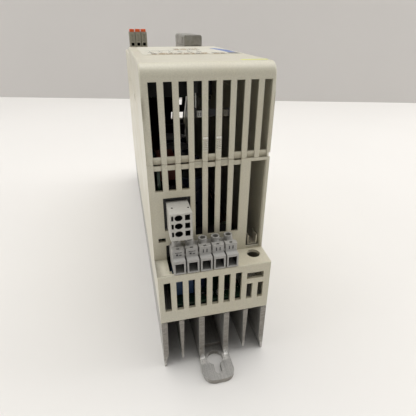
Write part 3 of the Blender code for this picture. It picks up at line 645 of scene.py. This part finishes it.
def cover_shell():
    bm = cad_mesh("top_cover")
    grooves = bmesh.new()
    groove_top, short_groove_top = 143.6, 140.4
    for k in range(9):
        top = short_groove_top if k in (3, 5) else groove_top
        add_box(grooves, *band(k, SEAM - 1, top))
    thinning = bmesh.new()
    bars_x, bars_z = (-32.6, 33.3), (141.2, 182.4)
    add_box(thinning, bars_x, BAR_BACKS, bars_z)
    notch = bmesh.new()
    add_box(notch, (HALF - SKIN, HALF + 1), (FACE_Y - 1, FACE_Y + 4.5), (SEAM - 1, SEAM + 2.4))
    bm = combine(bm, [grooves, thinning, notch], "DIFFERENCE")
    edge = HALF - 0.05

    def crown(e):
        a, b = e.verts[0].co, e.verts[1].co
        outside = abs(a.x) > edge and abs(b.x) > edge
        high = min(a.z, b.z) > TOP - 10 and max(a.y, b.y) < FAR_TOP_Y + 0.5
        return outside and high and (a - b).length > 0.5

    round_edges(bm, 1.3, 4, chosen=crown)
    round_edges(bm, 0.3, 2, angle=40)
    stand_for("top_cover", bm, [HOUSING])

    bm = bmesh.new()
    for k in (3, 4):
        left = SLOT_X + SLOT_PITCH * k + SLOT_WIDTH + 0.15
        right = SLOT_X + SLOT_PITCH * (k + 1) - 0.15
        lowest, ridge_pitch = 145.6, 1.1
        for i in range(6):
            z = lowest + ridge_pitch * i
            ridge = [(FACE_Y + 0.2, z - 0.5), (FACE_Y - 0.75, z - 0.15), (FACE_Y - 0.75, z + 0.15),
                     (FACE_Y + 0.2, z + 0.25)]
            add_prism(bm, ridge, "x", (left, right))
        step = [(FACE_Y + 0.2, 151.9), (FACE_Y - 0.9, 152.0), (FACE_Y - 0.9, 152.6), (FACE_Y + 0.2, 153.0)]
        add_prism(bm, step, "x", (left, right))
    # the ridges take the paler copy of the housing plastic as a painted highlight
    piece("grip_ridges", bm, [HOUSING_PAINTED_HIGHLIGHT], "chassis")


def cover_label():
    """A film on the cover with a generic printed diagram, and a yellow tag near its edge."""
    film, film_x, film_y = 0.12, (-29.5, 32.5), (-102.0, -27.0)
    bm = bmesh.new()
    add_prism(bm, rounded(film_x, film_y, 2.0), "z", (TOP, TOP + film), 0)
    ink = (TOP + film * 0.5, TOP + film + 0.03)

    def paragraph(x, y, finishes):
        """Ruled bars in place of lettering, in words of uneven length."""
        rows = 4
        for row in range(rows):
            low = y[0] + (y[1] - y[0]) * row / rows
            high = low + (y[1] - y[0]) * 0.17
            at = x[0]
            while at < x[1] - 1.5:
                end = min(at + draw.uniform(2.4, 5.2), x[1])
                add_box(bm, (at, end), (low, high), ink, draw.choice(finishes))
                at = end + draw.uniform(0.7, 1.6)

    draw = random.Random(4)
    paragraph((-24.0, 12.0), (-99.5, -90.0), (1, 1, 2))
    paragraph((-4.5, 13.5), (-61.0, -50.5), (1, 1, 2))
    paragraph((14.5, 23.5), (-99.5, -90.0), (1, 2))
    add_box(bm, (-27.0, 24.0), (-101.0, -100.4), ink, 1)
    for i in range(6):
        x = -25.0 + 6.4 * i
        add_box(bm, (x, x + 3.6), (-84.0 + 3.0 * (i % 2), -82.6 + 3.0 * (i % 2)), ink, 2)
        add_box(bm, (x + 1.7, x + 2.0), (-88.0, -70.0), ink, 2)
    add_box(bm, (-26.0, 12.0), (-69.8, -69.2), ink, 2)
    stripe = [(23.0, -50.0), (27.8, -49.0), (32.0, -66.0), (32.0, -88.0), (27.0, -89.5), (25.6, -66.0)]
    add_prism(bm, stripe, "z", ink, 3)
    add_box(bm, (24.8, 31.6), (-99.0, -91.0), ink, 2)
    piece("cover_label", bm, [FILM, INK_BROWN, INK_DARK, INK_BLUE], "chassis")

    bm = bmesh.new()
    add_prism(bm, rounded((18.7, 33.4), (-141.6, -138.2), 0.3), "z", (TOP + 0.02, TOP + 0.1))
    piece("yellow_tag", bm, [YELLOW], "chassis")


# ---- heat sink ----
def heat_sink():
    bm = cad_mesh("heat_sink")
    round_edges(bm, 0.35, 2, angle=25)
    stand_for("heat_sink", bm, [SINK], smooth=42)


# ---- terminals ----
def screw_profile(radius, low, top):
    """A cheese-head terminal screw's outline from its lower end up."""
    return [(0, low), (radius * 0.62, low), (radius * 0.62, top - 2.2), (radius, top - 2.2),
            (radius, top - 0.25), (radius - 0.25, top), (0, top)]


def slotted_screw(axis, centre, radius, low, top, turn):
    """A screw with a slot across its head, as a closed mesh of its own."""
    width = 0.45
    bm = bmesh.new()
    add_turned(bm, axis, centre, screw_profile(radius, low, top), segments=28)
    a, b = centre
    cos, sin = math.cos(turn), math.sin(turn)
    corners = [(-radius * 1.3, -width / 2), (radius * 1.3, -width / 2), (radius * 1.3, width / 2),
               (-radius * 1.3, width / 2)]
    slot = bmesh.new()
    add_prism(slot, [(a + p * cos - q * sin, b + p * sin + q * cos) for p, q in corners], axis,
              (top - 0.8, top + 1))
    return combine(bm, [slot], "DIFFERENCE")


def merge(target, source):
    """Adds one bmesh to another, in its first material."""
    for face in source.faces:
        face.material_index = 0
    mesh = bpy.data.meshes.new("merge")
    source.to_mesh(mesh)
    source.free()
    target.from_mesh(mesh)
    bpy.data.meshes.remove(mesh)


def clamp(x, end, turn):
    """Cage clamp of one power pole, its screw standing over it."""
    y = sorted((end * 158.2, end * 152.5))
    cage_z, mouth_z = (78.3, 84.1), (79.2, 82.8)
    cage = bmesh.new()
    add_prism(cage, rounded((x - 2.2, x + 2.2), cage_z, 0.7), "y", y)
    mouth = bmesh.new()
    add_prism(mouth, rounded((x - 1.5, x + 1.5), mouth_z, 0.4), "y", (y[0] - 1, y[1] + 1))
    cage = combine(cage, [mouth], "DIFFERENCE")
    round_edges(cage, 0.15, 1, angle=50)
    merge(cage, slotted_screw("z", (x, end * SCREW_Y), 1.5, 83.9, 90.6, turn))
    return cage


def power_plug(name, end):
    """Rounded plug body with its wire entries painted black as shade, bridges between its poles, screw
    collars and plain marks.
    """
    bm = cad_mesh(f"{name}_plug_body")
    round_edges(bm, 0.28, 2)
    entry_y, entry_z = (152.0, 165.5), (78.1, 84.3)
    # painted shade: faces inside the wire entries get the black finish
    for face in bm.faces:
        at = face.calc_center_median()
        if entry_y[0] < abs(at.y) < entry_y[1] and entry_z[0] < at.z < entry_z[1]:
            face.material_index = 1
    stand_for(f"{name}_plug_body", bm, [GREY, BLACK])
    bm = bmesh.new()
    for x in POLE_X[:-1]:
        at = x + POLE_PITCH / 2
        add_box(bm, (at - 0.42, at + 0.42), sorted((end * 162.6, end * 161.4)), (86.2, 87.6))
    for x in POLE_X:
        collar = [(0, 88.9), (3.25, 88.9), (3.25, 89.4), (2.95, 89.7), (0, 89.7)]
        merge(bm, bored((x, end * SCREW_Y), collar, 2.72, 32))
    piece(f"{name}_plug_bridges", bm, [GREY], f"{name}_plug")

    bm = bmesh.new()
    front = sorted((end * 163.05, end * 163.16))
    for i, x in enumerate(POLE_X):
        marks = [((-1.5, -0.9), (87.6, 89.9)), ((0.7, 1.3), (87.6, 89.9))]
        if i < 2:
            marks = [((-2.0, 2.0), (89.4, 89.8)), ((-1.4, -0.2), (87.6, 88.8)), ((0.4, 1.8), (87.6, 88.2))]
        for (a, b), z in marks:
            add_box(bm, (x + a, x + b), front, z)
    piece(f"{name}_plug_marks", bm, [INK_DARK], f"{name}_plug")


def power_terminals():
    draw = random.Random(11)
    power_plug("motor", -1)
    power_plug("mains", 1)
    for i, x in enumerate(POLE_X):
        stand_for(f"motor_clamp_{i + 1}", clamp(x, -1, draw.uniform(0, 3.1)), [STEEL])
    bm = bmesh.new()
    for x in POLE_X:
        merge(bm, clamp(x, 1, draw.uniform(0, 3.1)))
    piece("mains_clamps", bm, [STEEL], "mains_plug")
    for name in ("motor", "mains"):
        refine(f"{name}_header", [BLACK], 0.25, 1)


def brake_plug():
    """Three-pole spring plug with its wire entries painted black as shade, its clamp springs seen through
    them.
    """
    (x0, x1), (front, _), (z0, z1) = (span("brake_plug_body", axis) for axis in "xyz")
    bm = cad_mesh("brake_plug_body")
    round_edges(bm, 0.28, 2)
    entry_end = -153.5
    # painted shade: faces inside the wire entries get the black finish
    for face in bm.faces:
        at = face.calc_center_median()
        within = x0 + 0.6 < at.x < x1 - 0.6 and z0 + 1.0 < at.z < z1 - 1.0
        if within and front + 1 < at.y < entry_end:
            face.material_index = 1
    stand_for("brake_plug_body", bm, [PALE_GREY, BLACK])
    refine("brake_header", [BLACK], 0.25, 1)
    bm = bmesh.new()
    pole_heights = (113.1, 108.0, 102.9)
    for z in pole_heights:
        y = front + 3.4
        leaf = [(y, z + 1.35), (y + 0.5, z + 1.5), (y + 5.0, z - 0.9), (y + 4.7, z - 1.3)]
        add_prism(bm, leaf, "x", (-17.2, -15.0))
        saddle = [(y + 1.0, z - 1.5), (y + 1.3, z - 1.6), (y + 5.2, z - 0.3), (y + 5.0, z + 0.1)]
        add_prism(bm, saddle, "x", (-22.4, -19.8))
    piece("brake_clamp_springs", bm, [DULL_STEEL], "brake_plug")


def io_plug():
    bm = cad_mesh("io_plug_body")
    y = span("io_plug_body", "y")[0]
    left, right = span("io_plug_body", "x")
    pitch = 4.9
    middle = (left + right) / 2
    channel_radius, channel_z = 2.1, (193.0, 197.9)
    channels = bmesh.new()
    for k in (-1, 0, 1):
        outline = arc(middle + k * pitch, y - 1.5, channel_radius, 0, 360, 24)[:-1]
        add_prism(channels, outline, "z", channel_z)
    bm = combine(bm, [channels], "DIFFERENCE")
    round_edges(bm, 0.25, 2, angle=40)
    stand_for("io_plug_body", bm, [IO_GREY])
    refine("io_header", [BLACK], 0.25, 1)
    for i in (1, 2, 3):
        refine(f"release_button_{i}", [ORANGE], 0.22, 2)
    bm = bmesh.new()
    for k in (-1, 0, 1):
        x = middle + k * pitch
        add_prism(bm, [(y + 3.0, 188.7), (y + 3.3, 188.6), (y + 7.2, 191.2), (y + 7.0, 191.6)], "x",
                  (x - 1.2, x + 1.2))
    piece("io_clamp_springs", bm, [DULL_STEEL], "io_plug")


def bus_hood():
    bm = cad_mesh("bus_hood")
    x0, x1 = span("bus_hood", "x")
    y0, y1 = span("bus_hood", "y")
    depth, joint_z, grip_z = 0.35, (188.9, 189.3), (190.6, 195.4)
    ring = bmesh.new()
    add_box(ring, (x0 - 1, x1 + 1), (y0 - 1, y1 + 1), joint_z)
    core = bmesh.new()
    add_box(core, (x0 + depth, x1 - depth), (y0 + depth, y1 - depth), (188, 190))
    ring = combine(ring, [core], "DIFFERENCE")
    grips = bmesh.new()
    first_grip, grip_pitch = 4.0, 1.8
    for i in range(6):
        y = y0 + first_grip + grip_pitch * i
        for x in ((x0 - 1, x0 + 0.5), (x1 - 0.5, x1 + 1)):
            add_box(grips, x, (y, y + 0.8), grip_z)
    bm = combine(bm, [ring, grips], "DIFFERENCE")

    def long_and_high(e):
        a, b = e.verts[0].co, e.verts[1].co
        return min(a.z, b.z) > 190 and (a - b).length > 12

    round_edges(bm, 0.9, 3, chosen=long_and_high)
    round_edges(bm, 0.15, 1, angle=50)
    stand_for("bus_hood", bm, [SCREEN])
    refine("bus_plug_shell", [STEEL], 0.2, 2)
    refine("bus_socket", [DULL_STEEL], 0.25, 2)
    for i in (1, 2):
        refine(f"hood_screw_{i}", [STEEL], 0.18, 2)


def pocket_rib():
    """Low guide beside the motor plug, at the left end of its pocket."""
    bm = bmesh.new()
    front = span("base_housing", "y")[0]
    low, top = 71.5, 76.0
    profile = [(front + 0.4, low), (front + 0.4, top - 0.8), (front + 1.0, top), (front + 5.6, top),
               (front + 5.6, low)]
    add_prism(bm, profile, "x", (-27.35, -26.1))
    round_edges(bm, 0.2, 2)
    piece("pocket_rib", bm, [HOUSING], "chassis")


def earth_parts():
    refine("earth_bracket", [STEEL], 0.2, 2)
    refine("earth_screw", [STEEL], 0.2, 2)
    low, top = 64.02, 64.28
    washer = bored((EARTH_X, EARTH_Y), [(0, low), (4.2, low), (4.2, top), (0, top)], 2.15, 28)
    piece("earth_washer", washer, [BRASS], "chassis")
    refine("screen_clip", [BRASS], 0.2, 2)


# ---- modules ----
def modules():
    """Module fronts with captive screws, a label strip each and their fittings."""
    for i in range(1, 5):
        node = f"module_carrier_{i}"
        (x0, x1), (y0, y1), (_, top) = (span(node, axis) for axis in "xyz")
        bm = cad_mesh(node)
        middle = (x0 + x1) / 2
        screw_ys = (y0 + 3.4, y1 - 3.4)
        wells = bmesh.new()
        for y in screw_ys:
            add_prism(wells, circle(middle, y, 2.6, 28), "z", (top - 1.5, top + 1))
        bm = combine(bm, [wells], "DIFFERENCE")
        round_edges(bm, 0.3, 2, angle=40)
        stand_for(node, bm, [HOUSING])
        bm = bmesh.new()
        for k, y in enumerate(screw_ys):
            merge(bm, slotted_screw("z", (middle, y), 2.2, top - 5.0, top - 0.2, 0.5 + i + 1.3 * k))
        piece(f"module_screws_{i}", bm, [STEEL], BODY_OF[node])

        strip = (y1 - 16.0, y1 - 8.0)
        bm = bmesh.new()
        add_prism(bm, rounded((x0 + 1.6, x1 - 1.6), strip, 0.8), "z", (top - 0.02, top + 0.1), 0)
        for k in range(3):
            rule = (strip[0] + 1.6 + 2.0 * k, strip[0] + 2.2 + 2.0 * k)
            add_box(bm, (x0 + 3.0, x1 - 3.0 - 1.6 * k), rule, (top + 0.05, top + 0.13), 1)
        piece(f"module_label_{i}", bm, [FILM, INK_DARK], BODY_OF[node])
    refine("status_lights", [LIGHTS], 0.15, 2)
    refine("dial_block", [BLACK], 0.25, 2)
    for i in (1, 2):
        refine(f"address_dial_{i}", [ORANGE], 0.12, 2)

    top = span("module_carrier_3", "z")[1]
    bm = bmesh.new()
    for i in (1, 2):
        for k, (a, b) in enumerate(circle(*middle_of(f"address_dial_{i}"), 5.0, 10)):
            add_prism(bm, circle(a, b, 0.32 if k else 0.6, 8), "z", (top - 0.02, top + 0.05))
    piece("dial_marks", bm, [INK_DARK], "module_3")


# ---- circuit boards ----
CASE, TINNED, CAN, RED_CASE = range(4)          # finishes of soldered parts, as populate() lists them


def on_board(bm, facing, level, u, v, height, index, lift=0.0):
    """A box on a board: u and v are its spans across the board, height is how far it stands up."""
    up = sorted((level + lift, level + height))
    if facing == "x":
        add_box(bm, up, u, v, index)
    else:
        add_box(bm, u, v, up, index)


def add_chip(bm, facing, level, u, v):
    """An integrated circuit: black body and a row of tinned legs down each long side."""
    height, step = 1.6, 1.27
    on_board(bm, facing, level, u, v, height, CASE, 0.25)
    count = int((u[1] - u[0] - 0.8) / step)
    for i in range(count):
        a = u[0] + 0.6 + step * i
        for edge in (v[0], v[1]):
            on_board(bm, facing, level, (a, a + 0.4), (edge - 0.7, edge + 0.7), 0.5, TINNED)


def add_can(bm, facing, level, u, v, radius, height):
    """An electrolytic capacitor standing on its board."""
    top = level + height
    profile = [(0, level), (radius, level), (radius, top - 0.5), (radius - 0.5, top), (0, top)]
    add_turned(bm, facing, (u, v), profile, CAN, 20)
    cap = [(0, top - 0.1), (radius - 0.8, top - 0.1), (radius - 0.8, top + 0.08), (0, top + 0.08)]
    add_turned(bm, facing, (u, v), cap, TINNED, 20)


def scatter(bm, facing, level, u, v, count, seed, avoid=()):
    """Small chip resistors and capacitors at random places, clear of the larger parts."""
    draw = random.Random(seed)
    for _ in range(count):
        a, b = draw.uniform(*u), draw.uniform(*v)
        if any(p[0] - 2 < a < p[1] + 2 and q[0] - 2 < b < q[1] + 2 for p, q in avoid):
            continue
        size = draw.choice(((1.6, 0.8), (0.8, 1.6), (2.0, 1.2)))
        finish = draw.choice((CASE, RED_CASE, RED_CASE, TINNED))
        on_board(bm, facing, level, (a, a + size[0]), (b, b + size[1]), 0.6, finish, 0.02)


def populate(name, body, facing, level, chips, cans, small, seed, area):
    """All parts soldered to one board, as one piece."""
    bm = bmesh.new()
    for u, v in chips:
        add_chip(bm, facing, level, u, v)
    for u, v, radius, height in cans:
        add_can(bm, facing, level, u, v, radius, height)
    blocked = list(chips) + [((u - r, u + r), (v - r, v + r)) for u, v, r, _ in cans]
    scatter(bm, facing, level, *area, small, seed, blocked)
    round_edges(bm, 0.08, 1, angle=60)
    piece(name, bm, [BLACK, SOLDER, SLEEVE, RED], body)


def boards():
    """Chips are pairs of spans across their board; cans are two coordinates, a radius and a height."""
    for node in ("power_board", "filter_board", "control_board", "backplane_board"):
        dress(node, BOARD)
    level = span("control_board", "x")[1]
    chips = [((-140.0, -124.0), (88.0, 96.0)), ((-112.0, -92.0), (100.0, 112.0)),
             ((-80.0, -66.0), (84.0, 92.0)), ((-60.0, -40.0), (104.0, 116.0)),
             ((-20.0, 0.0), (96.0, 108.0)), ((20.0, 40.0), (84.0, 94.0))]
    cans = [(-141.0, 108.0, 2.5, 7.0), (-141.0, 116.0, 2.5, 7.0), (-104.0, 84.0, 3.1, 9.0),
            (-96.0, 84.0, 3.1, 9.0)]
    populate("control_board_parts", "chassis", "x", level, chips, cans, 60, 3, ((-142, 88), (62, 130)))

    level = span("power_board", "z")[1]
    cans = [(-22.0, -122.0, 4.0, 12.0), (-22.0, -110.0, 4.0, 12.0), (18.0, -122.0, 5.0, 18.0),
            (6.0, -121.0, 4.0, 10.0), (-21.0, 30.0, 4.0, 11.0)]
    chips = [((-25.0, -17.0), (-98.0, -90.0)), ((-25.0, -17.0), (-70.0, -62.0)),
             ((-25.0, -17.0), (-40.0, -32.0)), ((10.0, 22.0), (60.0, 66.0))]
    populate("power_board_parts", "chassis", "z", level, chips, cans, 40, 5, ((-26, 18), (-129, -102)))

    level = span("filter_board", "z")[1]
    cans = [(-6.0, -150.0, 3.0, 10.0), (2.0, -140.0, 4.0, 8.0)]
    chips = [((6.0, 15.0), (-158.0, -154.0))]
    populate("filter_board_parts", "chassis", "z", level, chips, cans, 14, 6, ((-8, 18), (-162, -138)))
    bm = bmesh.new()
    for x, y, turn in ((-2.2, -160.6, 0.4), (3.6, -161.0, 1.9), (12.6, -161.4, 1.0)):
        merge(bm, slotted_screw("z", (x, y), 2.0, level + 0.05, level + 3.0, turn))
    piece("filter_board_screws", bm, [STEEL], "chassis")

    level = span("backplane_board", "z")[1]
    chips = [((-28.0, -16.0), (2.0, 10.0)), ((8.0, 22.0), (0.0, 10.0))]
    populate("backplane_parts", "chassis", "z", level, chips, [], 30, 8, ((-30, 30), (-12, 14)))
    for i in range(1, 5):
        node = f"module_board_{i}"
        dress(node, BOARD)
        level = span(node, "x")[1]
        chips = [((-6.0, 8.0), (160.0, 167.0)), ((54.0, 70.0), (159.0, 164.0))]
        area = ((-9, 72), (158.5, 164))
        populate(f"module_parts_{i}", BODY_OF[node], "x", level, chips, [], 22, 20 + i, area)

    for node in ("board_carrier", "control_board_rail", "backplane_rail_left", "backplane_rail_right",
                 "backplane_sockets"):
        refine(node, [BLACK], 0.2, 1)


def far_end_shade_sheet():
    """Black sheet standing in for shade inside the far end, folded over the mains header, with three windows
    punched in it.
    """
    low, top, fold, header = 62.6, 145.0, 88.0, 124.6
    thick = 0.4
    behind = 8.0
    lean = (FACE_Y + FAR_TOP_Y) / (FAR_TOP_Z - FAR_FOOT_Z)

    def sheet_y(z):
        return -FACE_Y + (z - FAR_FOOT_Z) * lean - behind

    outline = [(header, low), (header + thick, low), (header + thick, fold), (sheet_y(fold), fold),
               (sheet_y(top), top), (sheet_y(top) - thick, top), (sheet_y(fold) - 2 * thick, fold + thick),
               (header, fold + thick)]
    bm = bmesh.new()
    add_prism(bm, outline, "x", (-32.6, 32.6))
    windows = bmesh.new()
    punched = (((15.4, 18.8), (94.6, 105.6)), ((25.8, 30.9), (93.8, 105.0)),
               ((24.4, 28.1), (115.6, 125.4)))
    for x, z in punched:
        corners = [(sheet_y(z[0]) - 2, z[0]), (sheet_y(z[1]) - 2, z[1]), (sheet_y(z[1]) + 2, z[1]),
                   (sheet_y(z[0]) + 2, z[0])]
        add_prism(windows, corners, "x", x)
    bm = combine(bm, [windows], "DIFFERENCE")
    # painted shade: the black sheet darkens the inside of the far end
    piece("far_end_shade_sheet", bm, [BLACK], "chassis")


def sensor_strip():
    """Small board behind the vent bars: two plugs, and a thin rod up to a post under the cover."""
    bm = bmesh.new()
    add_box(bm, (-8.0, 13.6), (-138.6, -137.8), (161.2, 165.2), 0)
    for x, width, finish in ((-5.2, 2.9, 1), (9.6, 2.4, 2)):
        add_box(bm, (x, x + width), (-141.2, -138.6), (161.6, 164.8), finish)
        for k in range(2):
            add_box(bm, (x + 0.5 + 1.1 * k, x + 0.9 + 1.1 * k), (-141.3, -140.8), (162.2, 164.2), 0)
    add_prism(bm, circle(-6.1, -140.4, 0.3, 12), "z", (166.6, 174.5), 1)
    add_prism(bm, rounded((-7.4, -4.8), (-141.2, -138.5), 0.4), "z", (174.4, 187.9), 0)
    add_box(bm, (-6.6, -5.6), (-140.2, -138.2), (165.0, 166.7), 0)
    piece("sensor_strip", bm, [BLACK, CERAMIC, IO_GREY], "chassis")


def bay_shade_sheet():
    """Black sheet across the inside, in front of the module bay, standing in for shade."""
    bm = bmesh.new()
    add_box(bm, (-32.4, 32.4), (-22.8, -22.4), (152.0, 187.2))
    # painted shade: the black sheet keeps the inside in front of the module bay dark
    piece("bay_shade_sheet", bm, [BLACK], "chassis")


def power_parts():
    for i in range(1, 5):
        refine(f"dc_link_capacitor_{i}", [SLEEVE], 0.4, 2)
        x, y = middle_of(f"dc_link_capacitor_{i}")
        z1 = span(f"dc_link_capacitor_{i}", "z")[1]
        bm = bmesh.new()
        lid = [(0, z1 - 0.1), (11.2, z1 - 0.1), (11.2, z1 + 0.1), (0, z1 + 0.1)]
        add_turned(bm, "z", (x, y), lid, segments=32)
        for turn in (0.3, 0.3 + math.pi / 3 * 2, 0.3 + math.pi / 3 * 4):
            cos, sin = math.cos(turn), math.sin(turn)
            rib = [(x + r * cos - s * sin, y + r * sin + s * cos)
                   for r, s in ((0.4, -0.2), (9.0, -0.2), (9.0, 0.2), (0.4, 0.2))]
            add_prism(bm, rib, "z", (z1 + 0.1, z1 + 0.25))
        piece(f"capacitor_lid_{i}", bm, [BLACK], "chassis")
    refine("igbt_module", [BLACK], 0.5, 2)
    refine("rectifier_bridge", [BLACK], 0.5, 2)
    refine("filter_choke", [WINDING], 1.5, 3, smooth=70)
    refine("line_filter_choke", [BLUE], 0.6, 2)
    refine("suppression_capacitor", [RED], 0.6, 2)
    for word in ("plus", "minus"):
        refine(f"busbar_{word}", [COPPER], 0.15, 1)


# ---- studio ----
def studio_surface(name, colour, roughness):
    f = Finish(name, colour, roughness)
    f.colour(f.mix(f.between(f.noise(1.6, 3.0), 0.3, 0.7), colour, tuple(c * 0.97 for c in colour)))
    return f.material


def plane(name, corners, finish):
    mesh = bpy.data.meshes.new(name)
    mesh.from_pydata(corners, [], [tuple(range(len(corners)))])
    mesh.materials.append(finish)
    made = bpy.data.objects.new(name, mesh)
    bpy.context.scene.collection.objects.link(made)


def area_light(name, spot, aim, size, power, colour):
    lamp = bpy.data.lights.new(name, "AREA")
    lamp.shape = "RECTANGLE"
    lamp.size, lamp.size_y = size
    lamp.energy = power
    lamp.color = colour
    made = bpy.data.objects.new(name, lamp)
    made.location = spot
    made.rotation_euler = (Vector(aim) - Vector(spot)).to_track_quat("-Z", "Y").to_euler()
    bpy.context.scene.collection.objects.link(made)


def studio():
    """Pale floor and wall, one broad light overhead and a softer one from each side."""
    reach, wall_height = 6, 2.5
    floor = studio_surface("pale_floor", (0.80, 0.785, 0.76), 0.6)
    wall = studio_surface("pale_wall", (0.60, 0.58, 0.56), 0.8)
    left, right = Vector((-0.419, 0.914, 0.0)), Vector((0.806, 0.555, 0.0))    # foot of the wall
    along = (right - left).normalized()
    a, b = left - along * 4, right + along * 4
    plane("floor", [(-reach, -reach, 0), (reach, -reach, 0), (reach, reach, 0), (-reach, reach, 0)], floor)
    plane("backdrop", [tuple(a), tuple(b), (b.x, b.y, wall_height), (a.x, a.y, wall_height)], wall)

    area_light("overhead", (0.15, 0.45, 1.7), (0.05, 0.2, 0), (2.8, 2.4), 47.0, (1.0, 0.99, 0.98))
    area_light("left_window", (-1.5, 0.1, 0.8), (0, 0, 0.1), (1.4, 1.2), 8.0, (1.0, 0.995, 0.985))
    area_light("right_window", (1.7, 0.1, 0.8), (0.4, 0.3, 0), (1.4, 1.2), 15.0, (1.0, 0.995, 0.985))

    world = bpy.data.worlds.new("studio")
    bpy.context.scene.world = world
    world.use_nodes = True
    sky = world.node_tree.nodes["Background"]
    sky.inputs["Color"].default_value = (1.0, 0.99, 0.97, 1.0)
    sky.inputs["Strength"].default_value = 0.285


def camera():
    """The photograph's viewpoint, as solved from the straight edges of the box."""
    tilt, heading, roll = math.radians(61.79), math.radians(-13.57), math.radians(0.28)
    lens = bpy.data.cameras.new("camera")
    lens.sensor_width = 36.0
    lens.lens = 29.78
    lens.clip_start = 0.01
    made = bpy.data.objects.new("camera", lens)
    made.location = (-0.04358, -0.3254, 0.2066)
    turn = Euler((tilt, 0, heading)).to_matrix()
    made.rotation_euler = (turn @ Matrix.Rotation(roll, 3, "Z")).to_euler()
    bpy.context.scene.collection.objects.link(made)
    bpy.context.scene.camera = made


camera()
base_shell()
cover_shell()
cover_label()
heat_sink()
power_terminals()
brake_plug()
io_plug()
bus_hood()
earth_parts()
pocket_rib()
modules()
boards()
power_parts()
far_end_shade_sheet()
sensor_strip()
bay_shade_sheet()
studio()
bpy.context.scene.view_settings.view_transform = "Standard"
